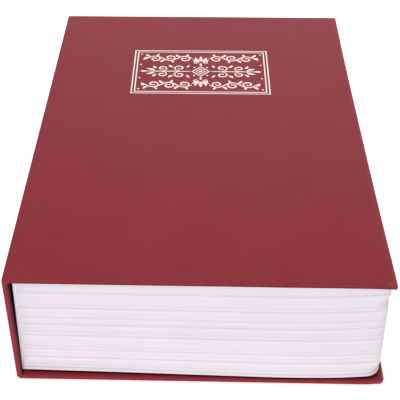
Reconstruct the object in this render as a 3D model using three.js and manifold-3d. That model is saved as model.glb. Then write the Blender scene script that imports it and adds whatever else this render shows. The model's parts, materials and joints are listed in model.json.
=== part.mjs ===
// Book diversion safe: a case-bound book with a lockable steel box sunk in a moulded page block.
// Millimetres. It lies closed on its back cover: +Z up, -X the spine, +X the fore-edge,
// -Y the tail and +Y the head. The origin is the middle of the footprint, on the table.

import * as THREE from 'three';
import { mergeVertices } from 'three/addons/utils/BufferGeometryUtils.js';
import Module from 'manifold-3d';

const wasm = await Module();
wasm.setup();

// Book
const bookLength = 240;
const coverWidth = 155;
const bookHeight = 55;
const spineLean = 1.4; // how far the top of the spine leans outward in its loose cloth joints

// Covers: board core, covering wrapped round three edges, paper lining inside
const boardThickness = 1.6;
const coveringThickness = 0.3;
const liningThickness = 0.25;
const glueLine = 0.05;
const turnIn = 6;
const coverCorner = 1.2;
const coverEdge = 0.6;

// Cloth joints at the two spine corners
const jointRadius = 1.4;
const jointSetback = 3;
const jointThickness = 0.65;
const leanGap = 0.3; // between the leaning spine and what stands square

// Page block
const tailSquare = 2; // how far the covers pass the block at head and tail
const foreSquare = 1.5; // how far the back cover passes it at the fore-edge
const spineGap = 0.35;
const coverGap = 0.3;
const pageWall = 2.2;
const footThickness = 2.4;
const footGap = 0.95; // the page faces end this far above the foot's seat
const footInset = 4; // how far the seat stands back under them
const rimThickness = 2;
const rimRound = 0.5;
const endStrip = 1.2; // plain moulded strip beside the spine
const plainRim = 1.6; // plain strip along the top and the bottom edge
const lipHeight = 0.9; // moulded lip along the lower edge of the page faces
const lipProud = 0.15;
const pageCorner = 5;
const easeRadius = 180; // the tail and head faces ease back towards the fore-edge
const easeAngle = THREE.MathUtils.degToRad(9.5);
const bundleHeights = [
  2.1, 1.6, 2.35, 2.35, 2.15, 1.9, 1.95, 1.5, 2.5, 2.05, 3.85, 3.7, 2.3, 2.7, 1.9, 2.6, 3.45, 3.35, 2.55,
];
const grooveDepth = 0.45;
const grooveWidth = 0.7;
const bundleRagged = 0.14; // how unevenly the page bundles stand
const topBundleProud = 0.4;
const topBundleDepth = 11; // the bundles this near the block's top stand proud of the rest
const ribThickness = 1.5;
const ribPitch = 38;
const ribDrop = 14; // from the block's top down to the ribs
const ribRoot = 0.5; // how far a rib runs into the wall

// Steel box
const sheet = 0.9;
const boxGap = 2.3; // from the page wall's inner face to the lid's edge
const lidGap = 0.6;
const panClearance = 0.3; // between the pan and the page block's foot and ribs
const skirtDepth = 7;
const hemDepth = 6;
const bendRadius = 1.6;
const boxCorner = 3;
const lidRest = 0.3;

// Piano hinge along the spine side
const knuckleRadius = 1.9;
const pinRadius = 1;
const pinFit = 0.06;
const pinOverhang = 1.2;
const leafThickness = 0.8;
const fixedLeafDepth = 18;
const movingLeafWidth = 18;
const hingeInset = 7.2; // from the lid's end to the last knuckle
const knuckleGap = 0.4;
const knuckleCount = 11;
const hingeClearance = 0.3;
const hingeRoom = 0.6; // from the page wall to the knuckles
const hingeUnderCover = 0.5;

// Cam lock near the fore-edge
const lockInset = 22.6; // from the pan's wall to the lock's axis
const lockFlangeRadius = 10;
const lockFlangeThickness = 1.3;
const lockBarrelRadius = 8;
const lockBarrelLength = 16;
const lockFlats = 13.6;
const lockFit = 0.15;
const plugRadius = 5.6;
const plugFit = 0.08;
const plugSunk = 0.2; // below the flange's face
const keywayLength = 7.4;
const keywayWidth = 1.5;
const keywayDepth = 9;
const tenonSize = 6;
const nutAcross = 21;
const nutThickness = 3.2;
const camThickness = 2;
const camHeadRadius = 8;
const camArmWidth = 11;
const camReach = 18.5;
const screwHeadRadius = 3.8;
const screwHeadHeight = 2;
const screwRadius = 1.8;
const screwLength = 7;
const screwHoleSpare = 1;
const slotWidth = 1;
const slotDepth = 1;

// Strike bracket on the pan's fore-edge wall
const strikeWidth = 32;
const strikeReach = 8;
const strikeToHem = 0.4;
const strikeThickness = 1.2;
const strikeClearance = 0.5;

// Rivets through the pan's floor into the back board
const rivetRadius = 1.9;
const rivetHeadRadius = 4;
const rivetHeadHeight = 1.2;
const rivetFit = 0.1;
const rivetInset = 22;

// Levels and edges that follow from them
const coverThickness = 2 * (coveringThickness + glueLine) + boardThickness;
const wrap = coveringThickness + glueLine; // from the outside to the board
const halfLength = bookLength / 2;
const frontLeft = -(coverWidth + spineLean) / 2;
const frontRight = frontLeft + coverWidth;
const backLeft = frontLeft + spineLean;
const backRight = backLeft + coverWidth;
const frontInner = bookHeight - coverThickness;

const lowerPivot = new THREE.Vector2(backLeft + jointRadius, jointRadius);
const upperPivot = new THREE.Vector2(frontLeft + jointRadius, bookHeight - jointRadius);
const spineRun = upperPivot.clone().sub(lowerPivot);
const spineTilt = Math.atan2(-spineRun.x, spineRun.y);

const blockBottom = coverThickness + glueLine;
const blockTop = frontInner - coverGap;
const blockLeft = backLeft + coverThickness + spineGap;
const blockRight = backRight - foreSquare;
const blockHalf = halfLength - tailSquare;
const wallLeft = blockLeft + pageWall;
const wallRight = blockRight - topBundleProud - pageWall;
const wallHalf = blockHalf - topBundleProud - pageWall;

const hingeX = wallLeft + hingeRoom + knuckleRadius;
const hingeZ = frontInner - hingeUnderCover - knuckleRadius;
const lidTop = hingeZ - knuckleRadius + leafThickness + glueLine + sheet;
const lidUnder = lidTop - sheet;
const lidLeft = hingeX + knuckleRadius + hingeClearance;
const lidRight = wallRight - boxGap;
const lidHalf = wallHalf - boxGap;

const hingeHalf = lidHalf - hingeInset;
const knuckleLength = (2 * hingeHalf) / knuckleCount;

const panLeft = hingeX - knuckleRadius + leafThickness + glueLine;
const panRight = lidRight - sheet - lidGap;
const panHalf = lidHalf - sheet - lidGap;
const panBottom = coverThickness + glueLine;
const panFloor = panBottom + sheet;
const panRim = lidUnder - lidRest;
const panLeftRim = hingeZ - knuckleRadius - 2 * hingeClearance;

const lockX = panRight - sheet - lockInset;
const flangeBottom = lidTop + glueLine;
const flangeTop = flangeBottom + lockFlangeThickness;
const barrelBottom = flangeBottom - lockBarrelLength;
const camTop = barrelBottom - glueLine;
const camBottom = camTop - camThickness;

const cloth = new THREE.MeshStandardMaterial({ color: 0x8a353f, roughness: 0.75, metalness: 0 });
const board = new THREE.MeshStandardMaterial({ color: 0x8d8678, roughness: 0.95, metalness: 0 });
const blackPaper = new THREE.MeshStandardMaterial({ color: 0x18181a, roughness: 0.85, metalness: 0 });
const whitePlastic = new THREE.MeshStandardMaterial({ color: 0xeae3ea, roughness: 0.5, metalness: 0 });
const blackSteel = new THREE.MeshStandardMaterial({ color: 0x1b1c1e, roughness: 0.45, metalness: 0.2 });
const plainSteel = new THREE.MeshStandardMaterial({ color: 0xb9bbbd, roughness: 0.3, metalness: 0.9 });

// Solids

function solidOf(geometry) {
  const bare = geometry.clone();
  bare.deleteAttribute('normal');
  bare.deleteAttribute('uv');
  const merged = mergeVertices(bare, 1e-4);
  const mesh = new wasm.Mesh({
    numProp: 3,
    vertProperties: new Float32Array(merged.attributes.position.array),
    triVerts: new Uint32Array(merged.index.array),
  });
  return new wasm.Manifold(mesh);
}

function geometryOf(solid) {
  const mesh = solid.getMesh();
  const geometry = new THREE.BufferGeometry();
  geometry.setAttribute('position', new THREE.BufferAttribute(mesh.vertProperties, 3));
  geometry.setIndex(new THREE.BufferAttribute(mesh.triVerts, 1));
  geometry.computeVertexNormals();
  return geometry;
}

function block(x0, x1, y0, y1, z0, z1) {
  const geometry = new THREE.BoxGeometry(x1 - x0, y1 - y0, z1 - z0);
  geometry.translate((x0 + x1) / 2, (y0 + y1) / 2, (z0 + z1) / 2);
  return solidOf(geometry);
}

function upright(shape, z0, z1, curveSegments = 6) {
  const geometry = new THREE.ExtrudeGeometry(shape, { depth: z1 - z0, bevelEnabled: false, curveSegments });
  geometry.translate(0, 0, z0);
  return solidOf(geometry);
}

// A section drawn in X and Z, run along Y.
function alongY(shape, y0, y1, curveSegments = 6) {
  const geometry = new THREE.ExtrudeGeometry(shape, { depth: y1 - y0, bevelEnabled: false, curveSegments });
  geometry.rotateX(Math.PI / 2);
  geometry.translate(0, y1, 0);
  return solidOf(geometry);
}

function turned(points, x, y, segments = 24) {
  const geometry = new THREE.LatheGeometry(points.map(([r, z]) => new THREE.Vector2(r, z)), segments);
  geometry.rotateX(Math.PI / 2);
  geometry.translate(x, y, 0);
  return solidOf(geometry);
}

// Half-section of a domed head, from its rim up to its crown, and the same head facing down.
function domeAbove(radius, height, z) {
  const steps = 4;
  const section = [];
  for (let i = 0; i <= steps; i += 1) {
    const angle = (Math.PI * i) / (2 * steps);
    section.push([i === steps ? 0 : radius * Math.cos(angle), z + height * Math.sin(angle)]);
  }
  return section;
}

function domeBelow(radius, height, z) {
  return domeAbove(radius, -height, z).reverse();
}

function roundedRectangle(x0, x1, y0, y1, radius) {
  const shape = new THREE.Shape();
  shape.moveTo(x0 + radius, y0);
  shape.lineTo(x1 - radius, y0);
  shape.absarc(x1 - radius, y0 + radius, radius, -Math.PI / 2, 0);
  shape.lineTo(x1, y1 - radius);
  shape.absarc(x1 - radius, y1 - radius, radius, 0, Math.PI / 2);
  shape.lineTo(x0 + radius, y1);
  shape.absarc(x0 + radius, y1 - radius, radius, Math.PI / 2, Math.PI);
  shape.lineTo(x0, y0 + radius);
  shape.absarc(x0 + radius, y0 + radius, radius, Math.PI, 1.5 * Math.PI);
  return shape;
}

function roundedSlab(x0, x1, y0, y1, z0, z1, corner, edge) {
  const inset = roundedRectangle(x0 + edge, x1 - edge, y0 + edge, y1 - edge, Math.max(corner - edge, 0.2));
  const geometry = new THREE.ExtrudeGeometry(inset, {
    depth: z1 - z0 - 2 * edge,
    bevelThickness: edge,
    bevelSize: edge,
    bevelSegments: 3,
    curveSegments: 3,
  });
  geometry.translate(0, 0, z0 + edge);
  return solidOf(geometry);
}

// Rings of equal point count, stacked from the bottom up and closed at both ends.
function loft(rings) {
  const count = rings[0].points.length;
  const positions = rings.flatMap(({ z, points }) => points.flatMap((p) => [p.x, p.y, z]));
  const index = [];
  for (let level = 0; level + 1 < rings.length; level += 1) {
    for (let i = 0; i < count; i += 1) {
      const a = level * count + i;
      const b = level * count + ((i + 1) % count);
      index.push(a, b, b + count, a, b + count, a + count);
    }
  }
  const top = (rings.length - 1) * count;
  for (const [a, b, c] of THREE.ShapeUtils.triangulateShape(rings[0].points, [])) {
    index.push(a, c, b);
  }
  for (const [a, b, c] of THREE.ShapeUtils.triangulateShape(rings.at(-1).points, [])) {
    index.push(top + a, top + b, top + c);
  }
  const geometry = new THREE.BufferGeometry();
  geometry.setAttribute('position', new THREE.Float32BufferAttribute(positions, 3));
  geometry.setIndex(index);
  return solidOf(geometry);
}

function named(name, solid, material) {
  const mesh = new THREE.Mesh(geometryOf(solid), material);
  mesh.name = name;
  return mesh;
}

// Covers. Front and back are the same sandwich; the outer face is up on the front, down on the back.

function coverCovering(left, right, bottom, outerIsUp) {
  const start = left + jointSetback;
  const top = bottom + coverThickness;
  const outside = roundedSlab(left, right, -halfLength, halfLength, bottom, top, coverCorner, coverEdge);
  const pocket = block(
    left - 1, right - wrap, wrap - halfLength, halfLength - wrap, bottom + wrap, top - wrap,
  );
  const windowLow = outerIsUp ? bottom - 1 : top - wrap - 1;
  const windowHigh = outerIsUp ? bottom + wrap + 1 : top + 1;
  const window = block(
    left - 1, right - turnIn, turnIn - halfLength, halfLength - turnIn, windowLow, windowHigh,
  );
  const jointSide = block(left - 1, start, -halfLength - 1, halfLength + 1, bottom - 1, top + 1);
  return outside.subtract(pocket).subtract(window).subtract(jointSide);
}

function coverBoard(left, right, bottom) {
  return block(
    left + jointSetback, right - wrap - glueLine,
    wrap + glueLine - halfLength, halfLength - wrap - glueLine,
    bottom + wrap, bottom + wrap + boardThickness,
  );
}

function coverLining(left, right, bottom, outerIsUp) {
  const far = right - turnIn - glueLine;
  const end = halfLength - turnIn - glueLine;
  const low = outerIsUp
    ? bottom + coveringThickness - liningThickness
    : bottom + coverThickness - coveringThickness;
  return block(left + jointSetback, far, -end, end, low, low + liningThickness);
}

function rivetPlaces() {
  const places = [];
  for (const y of [-panHalf + rivetInset, panHalf - rivetInset]) {
    for (const x of [panLeft + rivetInset, panRight - rivetInset]) {
      places.push([x, y]);
    }
  }
  return places;
}

function drillRivets(solid, z0, z1) {
  let drilled = solid;
  for (const [x, y] of rivetPlaces()) {
    const radius = rivetRadius + rivetFit;
    drilled = drilled.subtract(turned([[0, z0], [radius, z0], [radius, z1], [0, z1]], x, y, 16));
  }
  return drilled;
}

function frontCover() {
  const group = new THREE.Group();
  const bottom = frontInner;
  group.add(named('front_board', coverBoard(frontLeft, frontRight, bottom), board));
  group.add(named('front_covering', coverCovering(frontLeft, frontRight, bottom, true), cloth));
  group.add(named('front_lining', coverLining(frontLeft, frontRight, bottom, true), blackPaper));
  return group;
}

function backCover() {
  const group = new THREE.Group();
  const boardSolid = drillRivets(coverBoard(backLeft, backRight, 0), 0, coverThickness);
  const liningSolid = drillRivets(coverLining(backLeft, backRight, 0, false), 0, panFloor);
  group.add(named('back_board', boardSolid, board));
  group.add(named('back_covering', coverCovering(backLeft, backRight, 0, false), cloth));
  group.add(named('back_lining', liningSolid, blackPaper));
  return group;
}

// Spine, drawn upright from the lower joint's pivot and then leaned outward.
function spine() {
  const group = new THREE.Group();
  const low = jointSetback - jointRadius;
  const high = spineRun.length() - low;
  const outer = -jointRadius;
  const inner = outer + coverThickness;
  const outside = upright(roundedRectangle(outer, inner, -halfLength, halfLength, coverEdge), low, high, 3);
  const pocket = block(outer + wrap, inner - wrap, wrap - halfLength, halfLength - wrap, low - 1, high + 1);
  const window = block(
    inner - wrap - 1, inner + 1, turnIn - halfLength, halfLength - turnIn, low - 1, high + 1,
  );
  const core = block(
    outer + wrap, outer + wrap + boardThickness,
    wrap + glueLine - halfLength, halfLength - wrap - glueLine, low, high,
  );
  const liningEnd = halfLength - turnIn - glueLine;
  const liningX = inner - coveringThickness;
  const lining = block(liningX, liningX + liningThickness, -liningEnd, liningEnd, low, high);
  group.add(named('spine_covering', outside.subtract(pocket).subtract(window), cloth));
  group.add(named('spine_board', core, board));
  group.add(named('spine_lining', lining, blackPaper));
  group.position.set(lowerPivot.x, 0, lowerPivot.y);
  group.rotation.y = -spineTilt;
  return group;
}

// The cloth that turns a spine corner: along the cover, round the pivot and down the spine.
function clothJoint(name, left, faceZ, inward) {
  const pivotX = left + jointRadius;
  const pivotZ = faceZ + inward * jointRadius;
  const coverEnd = left + jointSetback - glueLine;
  const spineEnd = faceZ + inward * (jointSetback - leanGap);
  const innerRadius = jointRadius - jointThickness;
  const top = inward < 0;
  const faceAngle = top ? Math.PI / 2 : 1.5 * Math.PI;
  const shape = new THREE.Shape();
  shape.moveTo(coverEnd, faceZ);
  shape.lineTo(pivotX, faceZ);
  shape.absarc(pivotX, pivotZ, jointRadius, faceAngle, Math.PI, !top);
  shape.lineTo(left, spineEnd);
  shape.lineTo(left + jointThickness, spineEnd);
  shape.absarc(pivotX, pivotZ, innerRadius, Math.PI, faceAngle, top);
  shape.lineTo(coverEnd, faceZ + inward * jointThickness);
  return named(name, alongY(shape, -halfLength, halfLength, 5), cloth);
}

// Page block: one moulding, ridged like page edges on three sides, open above the steel box.

function pageOutline(setback) {
  const tail = -blockHalf;
  const easeCentre = new THREE.Vector2(
    blockRight - pageCorner - (easeRadius - pageCorner) * Math.sin(easeAngle), tail + easeRadius,
  );
  const cornerCentre = new THREE.Vector2(
    blockRight - pageCorner, easeCentre.y - (easeRadius - pageCorner) * Math.cos(easeAngle),
  );
  const half = [
    new THREE.Vector2(blockLeft, tail),
    new THREE.Vector2(blockLeft + endStrip, tail),
    new THREE.Vector2(blockLeft + endStrip + grooveWidth / 2, tail + setback),
  ];
  const easeSteps = 3;
  for (let i = 0; i < easeSteps; i += 1) {
    const angle = (easeAngle * i) / easeSteps;
    const radius = easeRadius - setback;
    half.push(new THREE.Vector2(Math.sin(angle), -Math.cos(angle)).multiplyScalar(radius).add(easeCentre));
  }
  const cornerSteps = 5;
  for (let i = 0; i <= cornerSteps; i += 1) {
    const angle = easeAngle + ((Math.PI / 2 - easeAngle) * i) / cornerSteps;
    const radius = pageCorner - setback;
    half.push(new THREE.Vector2(Math.sin(angle), -Math.cos(angle)).multiplyScalar(radius).add(cornerCentre));
  }
  const mirrored = half.map((p) => new THREE.Vector2(p.x, -p.y)).reverse();
  return [...half, ...mirrored];
}

// Page bundles from the bottom up, each with its own height and its own small setback.
function pageLevels() {
  const bulkAt = (z) => (z > blockTop - topBundleDepth ? bundleRagged : topBundleProud);
  const lip = topBundleProud - lipProud;
  const levels = [{ z: blockBottom, setback: lip }, { z: blockBottom + footGap + lipHeight / 2, setback: lip }];
  let z = blockBottom + plainRim;
  let k = 0;
  const last = blockTop - plainRim - bundleHeights.at(-1);
  while (z < last - grooveWidth * 2) {
    const height = Math.min(bundleHeights[k % bundleHeights.length], last - z);
    const setback = bulkAt(z) + bundleRagged * Math.sin(2.4 * k);
    levels.push({ z: z + grooveWidth / 2, setback: bulkAt(z) + grooveDepth });
    levels.push({ z: z + grooveWidth, setback });
    levels.push({ z: z + height, setback });
    z += height;
    k += 1;
  }
  levels.push({ z: z + grooveWidth / 2, setback: bundleRagged + grooveDepth });
  levels.push({ z: z + grooveWidth, setback: 0 }, { z: blockTop - rimRound, setback: 0 });
  levels.push({ z: blockTop, setback: rimRound });
  return levels;
}

// The seat stands back under the page faces, which leaves a dark line above the cover.
function footRebate() {
  const high = blockBottom + footGap;
  const end = blockHalf - footInset;
  const around = block(blockLeft - 1, blockRight + 1, -blockHalf - 1, blockHalf + 1, blockBottom - 1, high);
  const seat = roundedRectangle(blockLeft - 2 * boxCorner, blockRight - footInset, -end, end, boxCorner);
  return around.subtract(upright(seat, blockBottom - 2, high + 1, 3));
}

function pageRibs() {
  const low = blockBottom + (footGap + footThickness) / 2;
  const high = blockTop - ribDrop;
  const ribs = [];
  const alongTail = Math.floor((panRight - panLeft) / ribPitch);
  for (let i = 0; i < alongTail; i += 1) {
    const x = (panLeft + panRight) / 2 + (i - (alongTail - 1) / 2) * ribPitch;
    const reach = panHalf + panClearance;
    ribs.push(block(x - ribThickness / 2, x + ribThickness / 2, reach, wallHalf + ribRoot, low, high));
    ribs.push(block(x - ribThickness / 2, x + ribThickness / 2, -wallHalf - ribRoot, -reach, low, high));
  }
  const alongFore = Math.floor((2 * panHalf) / ribPitch);
  for (let i = 0; i < alongFore; i += 1) {
    const y = (i - (alongFore - 1) / 2) * ribPitch;
    const near = panRight + panClearance;
    ribs.push(block(near, wallRight + ribRoot, y - ribThickness / 2, y + ribThickness / 2, low, high));
  }
  return ribs;
}

function pageBlock() {
  let solid = loft(pageLevels().map(({ z, setback }) => ({ z, points: pageOutline(setback) })));
  const footTop = blockBottom + footThickness;
  const rimUnder = blockTop - rimThickness;
  const overlap = 1;
  const lidEnd = lidHalf + lidGap;
  const panEnd = panHalf + panClearance;
  const wallShape = roundedRectangle(wallLeft, wallRight, -wallHalf, wallHalf, boxCorner);
  const lidShape = roundedRectangle(wallLeft, lidRight + lidGap, -lidEnd, lidEnd, boxCorner);
  const panShape = roundedRectangle(wallLeft, panRight + panClearance, -panEnd, panEnd, boxCorner);
  const cavity = upright(wallShape, footTop, rimUnder, 3);
  const lidOpening = upright(lidShape, rimUnder - overlap, blockTop + overlap, 3);
  const panOpening = upright(panShape, blockBottom - overlap, footTop + overlap, 3);
  solid = solid.subtract(cavity).subtract(lidOpening).subtract(panOpening).subtract(footRebate());
  for (const rib of pageRibs()) {
    solid = solid.add(rib);
  }
  return named('page_block', solid, whitePlastic);
}

// Steel box

function boxPan() {
  const margin = 10;
  const outer = roundedSlab(
    panLeft, panRight, -panHalf, panHalf, panBottom, panRim + margin, boxCorner, bendRadius,
  );
  const inner = roundedSlab(
    panLeft + sheet, panRight - sheet, sheet - panHalf, panHalf - sheet,
    panFloor, panRim + margin, boxCorner - sheet, bendRadius - sheet,
  );
  const midSheet = sheet / 2;
  const hemShape = roundedRectangle(
    panLeft + midSheet, panRight - midSheet, midSheet - panHalf, panHalf - midSheet, boxCorner,
  );
  const hemOuter = upright(hemShape, panRim - hemDepth, panRim, 3);
  const hemInner = block(
    panLeft - margin, panRight - 2 * sheet, 2 * sheet - panHalf, panHalf - 2 * sheet,
    panRim - hemDepth - 1, panRim + 1,
  );
  const above = block(
    panLeft - margin, panRight + margin, -panHalf - margin, panHalf + margin, panRim, panRim + 2 * margin,
  );
  const hingeSide = block(
    panLeft - margin, panLeft + 2 * margin, -panHalf - margin, panHalf + margin, panLeftRim, panRim + margin,
  );
  const hemStart = block(
    panLeft + sheet, lidLeft, sheet - panHalf, panHalf - sheet, panRim - hemDepth - 1, panRim + margin,
  );
  let solid = outer.subtract(inner).add(hemOuter.subtract(hemInner));
  solid = solid.subtract(above).subtract(hingeSide).subtract(hemStart);
  return named('box_pan', drillRivets(solid, panBottom - 1, panFloor + 1), blackSteel);
}

function ringSection(outer, inner, x, z) {
  const shape = new THREE.Shape();
  shape.absarc(x, z, outer, 0, 2 * Math.PI);
  const hole = new THREE.Path();
  hole.absarc(x, z, inner, 0, 2 * Math.PI, true);
  shape.holes.push(hole);
  return shape;
}

// Every second knuckle belongs to one leaf; its plate is notched round the other leaf's knuckles.
function hingeLeaf(name, plate, notch, firstKnuckle) {
  const start = -hingeHalf;
  const bore = pinRadius + pinFit;
  let solid = plate;
  for (let k = 0; k < knuckleCount; k += 1) {
    const y0 = start + k * knuckleLength + knuckleGap / 2;
    const y1 = start + (k + 1) * knuckleLength - knuckleGap / 2;
    if (k % 2 === firstKnuckle) {
      solid = solid.add(alongY(ringSection(knuckleRadius, bore, hingeX, hingeZ), y0, y1, 8));
    } else {
      solid = solid.subtract(notch(y0 - knuckleGap, y1 + knuckleGap));
    }
  }
  const drill = new THREE.Shape().absarc(hingeX, hingeZ, bore, 0, 2 * Math.PI);
  solid = solid.subtract(alongY(drill, start - 1, -start + 1, 8));
  return named(name, solid, blackSteel);
}

function fixedLeaf() {
  const half = hingeHalf - knuckleGap / 2;
  const x0 = hingeX - knuckleRadius;
  const plate = block(x0, x0 + leafThickness, -half, half, hingeZ - fixedLeafDepth, hingeZ);
  const top = hingeZ + knuckleRadius;
  const notchLow = hingeZ - knuckleRadius - hingeClearance;
  const notch = (y0, y1) => block(x0 - 1, x0 + knuckleRadius, y0, y1, notchLow, top);
  return hingeLeaf('pan_hinge_leaf', plate, notch, 0);
}

function movingLeaf() {
  const half = hingeHalf - knuckleGap / 2;
  const z0 = hingeZ - knuckleRadius;
  const plate = block(hingeX, hingeX + movingLeafWidth, -half, half, z0, z0 + leafThickness);
  const notchEnd = hingeX + knuckleRadius + hingeClearance;
  const notch = (y0, y1) => block(hingeX - 1, notchEnd, y0, y1, z0 - 1, hingeZ + 1);
  return hingeLeaf('lid_hinge_leaf', plate, notch, 1);
}

function hingePin() {
  const end = hingeHalf + pinOverhang;
  const shape = new THREE.Shape().absarc(hingeX, hingeZ, pinRadius, 0, 2 * Math.PI);
  return named('hinge_pin', alongY(shape, -end, end, 8), plainSteel);
}

function lockHole(z0, z1, clearance) {
  const radius = lockBarrelRadius + clearance;
  const flat = lockFlats / 2 + clearance;
  const round = turned([[0, z0], [radius, z0], [radius, z1], [0, z1]], lockX, 0);
  return round.intersect(block(lockX - radius - 1, lockX + radius + 1, -flat, flat, z0 - 1, z1 + 1));
}

function lidPanel() {
  const margin = 10;
  const low = lidUnder - skirtDepth;
  const outer = roundedSlab(
    lidLeft - margin, lidRight, -lidHalf, lidHalf, low - margin, lidTop, boxCorner, bendRadius,
  );
  const inner = roundedSlab(
    lidLeft - 2 * margin, lidRight - sheet, sheet - lidHalf, lidHalf - sheet,
    low - 2 * margin, lidUnder, boxCorner - sheet, bendRadius - sheet,
  );
  const below = block(lidLeft - 2 * margin, lidRight + 1, -lidHalf - 1, lidHalf + 1, low - 2 * margin, low);
  const hingeSide = block(lidLeft - 2 * margin, lidLeft, -lidHalf - 1, lidHalf + 1, low - margin, lidTop + 1);
  let solid = outer.subtract(inner).subtract(below).subtract(hingeSide);
  solid = solid.subtract(lockHole(lidUnder - 1, lidTop + 1, lockFit));
  return named('lid_panel', solid, blackSteel);
}

// Cam lock

function lockHousing() {
  const bore = plugRadius + plugFit;
  const chamfer = 0.5;
  const body = turned([
    [bore, barrelBottom],
    [lockBarrelRadius - chamfer, barrelBottom],
    [lockBarrelRadius, barrelBottom + chamfer],
    [lockBarrelRadius, flangeBottom],
    [lockFlangeRadius, flangeBottom],
    [lockFlangeRadius, flangeTop - chamfer],
    [lockFlangeRadius - chamfer, flangeTop],
    [bore, flangeTop],
    [bore, barrelBottom],
  ], lockX, 0);
  const far = lockBarrelRadius + 1;
  const flat = lockFlats / 2;
  const near = block(lockX - far, lockX + far, -far, -flat, barrelBottom - 1, flangeBottom);
  const other = block(lockX - far, lockX + far, flat, far, barrelBottom - 1, flangeBottom);
  return named('lock_housing', body.subtract(near).subtract(other), plainSteel);
}

function lockNut() {
  const hexagon = new THREE.Shape();
  const corner = nutAcross / Math.sqrt(3);
  for (let i = 0; i < 6; i += 1) {
    const angle = (i * Math.PI) / 3;
    const x = lockX + corner * Math.cos(angle);
    const y = corner * Math.sin(angle);
    if (i === 0) {
      hexagon.moveTo(x, y);
    } else {
      hexagon.lineTo(x, y);
    }
  }
  const high = lidUnder - glueLine;
  const low = high - nutThickness;
  const radius = lockBarrelRadius + lockFit;
  const hole = turned([[0, low - 1], [radius, low - 1], [radius, high + 1], [0, high + 1]], lockX, 0);
  return named('lock_nut', upright(hexagon, low, high).subtract(hole), plainSteel);
}

function lockPlug() {
  const top = flangeTop - plugSunk;
  const body = turned([[0, barrelBottom], [plugRadius, barrelBottom], [plugRadius, top], [0, top]], lockX, 0);
  const half = tenonSize / 2;
  const tenon = block(lockX - half, lockX + half, -half, half, camBottom, barrelBottom + 1);
  const across = keywayWidth / 2;
  const along = keywayLength / 2;
  const keyway = block(lockX - across, lockX + across, -along, along, top - keywayDepth, top + 1);
  const radius = screwRadius + lockFit;
  const depth = camBottom + screwLength + screwHoleSpare;
  const screwHole = turned(
    [[0, camBottom - 1], [radius, camBottom - 1], [radius, depth], [0, depth]], lockX, 0, 12,
  );
  return named('lock_plug', body.add(tenon).subtract(keyway).subtract(screwHole), plainSteel);
}

// At rest the arm points to the tail, clear of the strike.
function lockCam() {
  const tip = camArmWidth / 2;
  const neck = Math.acos(tip / camHeadRadius);
  const shape = new THREE.Shape();
  shape.absarc(lockX, 0, camHeadRadius, -neck, Math.PI + neck, false);
  shape.lineTo(lockX - tip, tip - camReach);
  shape.absarc(lockX, tip - camReach, tip, Math.PI, 2 * Math.PI, false);
  const hole = tenonSize / 2 + lockFit;
  const square = block(lockX - hole, lockX + hole, -hole, hole, camBottom - 1, camTop + 1);
  return named('lock_cam', upright(shape, camBottom, camTop, 8).subtract(square), plainSteel);
}

function camScrew() {
  const head = camBottom - glueLine;
  const end = camBottom + screwLength;
  const solid = turned([
    ...domeBelow(screwHeadRadius, screwHeadHeight, head),
    [screwRadius, head],
    [screwRadius, end],
    [0, end],
  ], lockX, 0, 16);
  const slotBottom = head - screwHeadHeight;
  const cut = block(
    lockX - slotWidth / 2, lockX + slotWidth / 2, -screwHeadRadius, screwHeadRadius,
    slotBottom - 1, slotBottom + slotDepth,
  );
  return named('cam_screw', solid.subtract(cut), plainSteel);
}

function lockStrike() {
  const wall = panRight - sheet - glueLine;
  const under = camTop + strikeClearance;
  const top = panRim - hemDepth - strikeToHem;
  const shape = new THREE.Shape();
  shape.moveTo(wall, under);
  shape.lineTo(wall, top);
  shape.lineTo(wall - strikeThickness, top);
  shape.lineTo(wall - strikeThickness, under + strikeThickness);
  shape.lineTo(wall - strikeReach, under + strikeThickness);
  shape.lineTo(wall - strikeReach, under);
  return named('lock_strike', alongY(shape, -strikeWidth / 2, strikeWidth / 2), blackSteel);
}

function rivets() {
  const low = wrap + glueLine;
  const head = panFloor + glueLine;
  return rivetPlaces().map(([x, y], i) => {
    const solid = turned([
      [0, low],
      [rivetRadius, low],
      [rivetRadius, head],
      ...domeAbove(rivetHeadRadius, rivetHeadHeight, head),
    ], x, y, 16);
    return named(`floor_rivet_${i + 1}`, solid, plainSteel);
  });
}

const safe = new THREE.Group();
safe.name = 'book_safe';
safe.add(backCover());
safe.add(clothJoint('back_joint', backLeft, 0, 1));
safe.add(spine());
safe.add(clothJoint('front_joint', frontLeft, bookHeight, -1));
safe.add(frontCover());
safe.add(pageBlock());
safe.add(boxPan(), fixedLeaf(), hingePin(), lockStrike(), ...rivets());
safe.add(lidPanel(), movingLeaf());
safe.add(lockHousing(), lockNut(), lockPlug(), lockCam(), camScrew());

export default safe;
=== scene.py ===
# Book safe, dressed for the render: a hardback case, a moulded page block and a steel lock box.
# Metres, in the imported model's own frame: +Z up, -X the spine, -Y the tail.
import json
import math

import bmesh
import bpy
from mathutils import Matrix, Vector, noise


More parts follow.
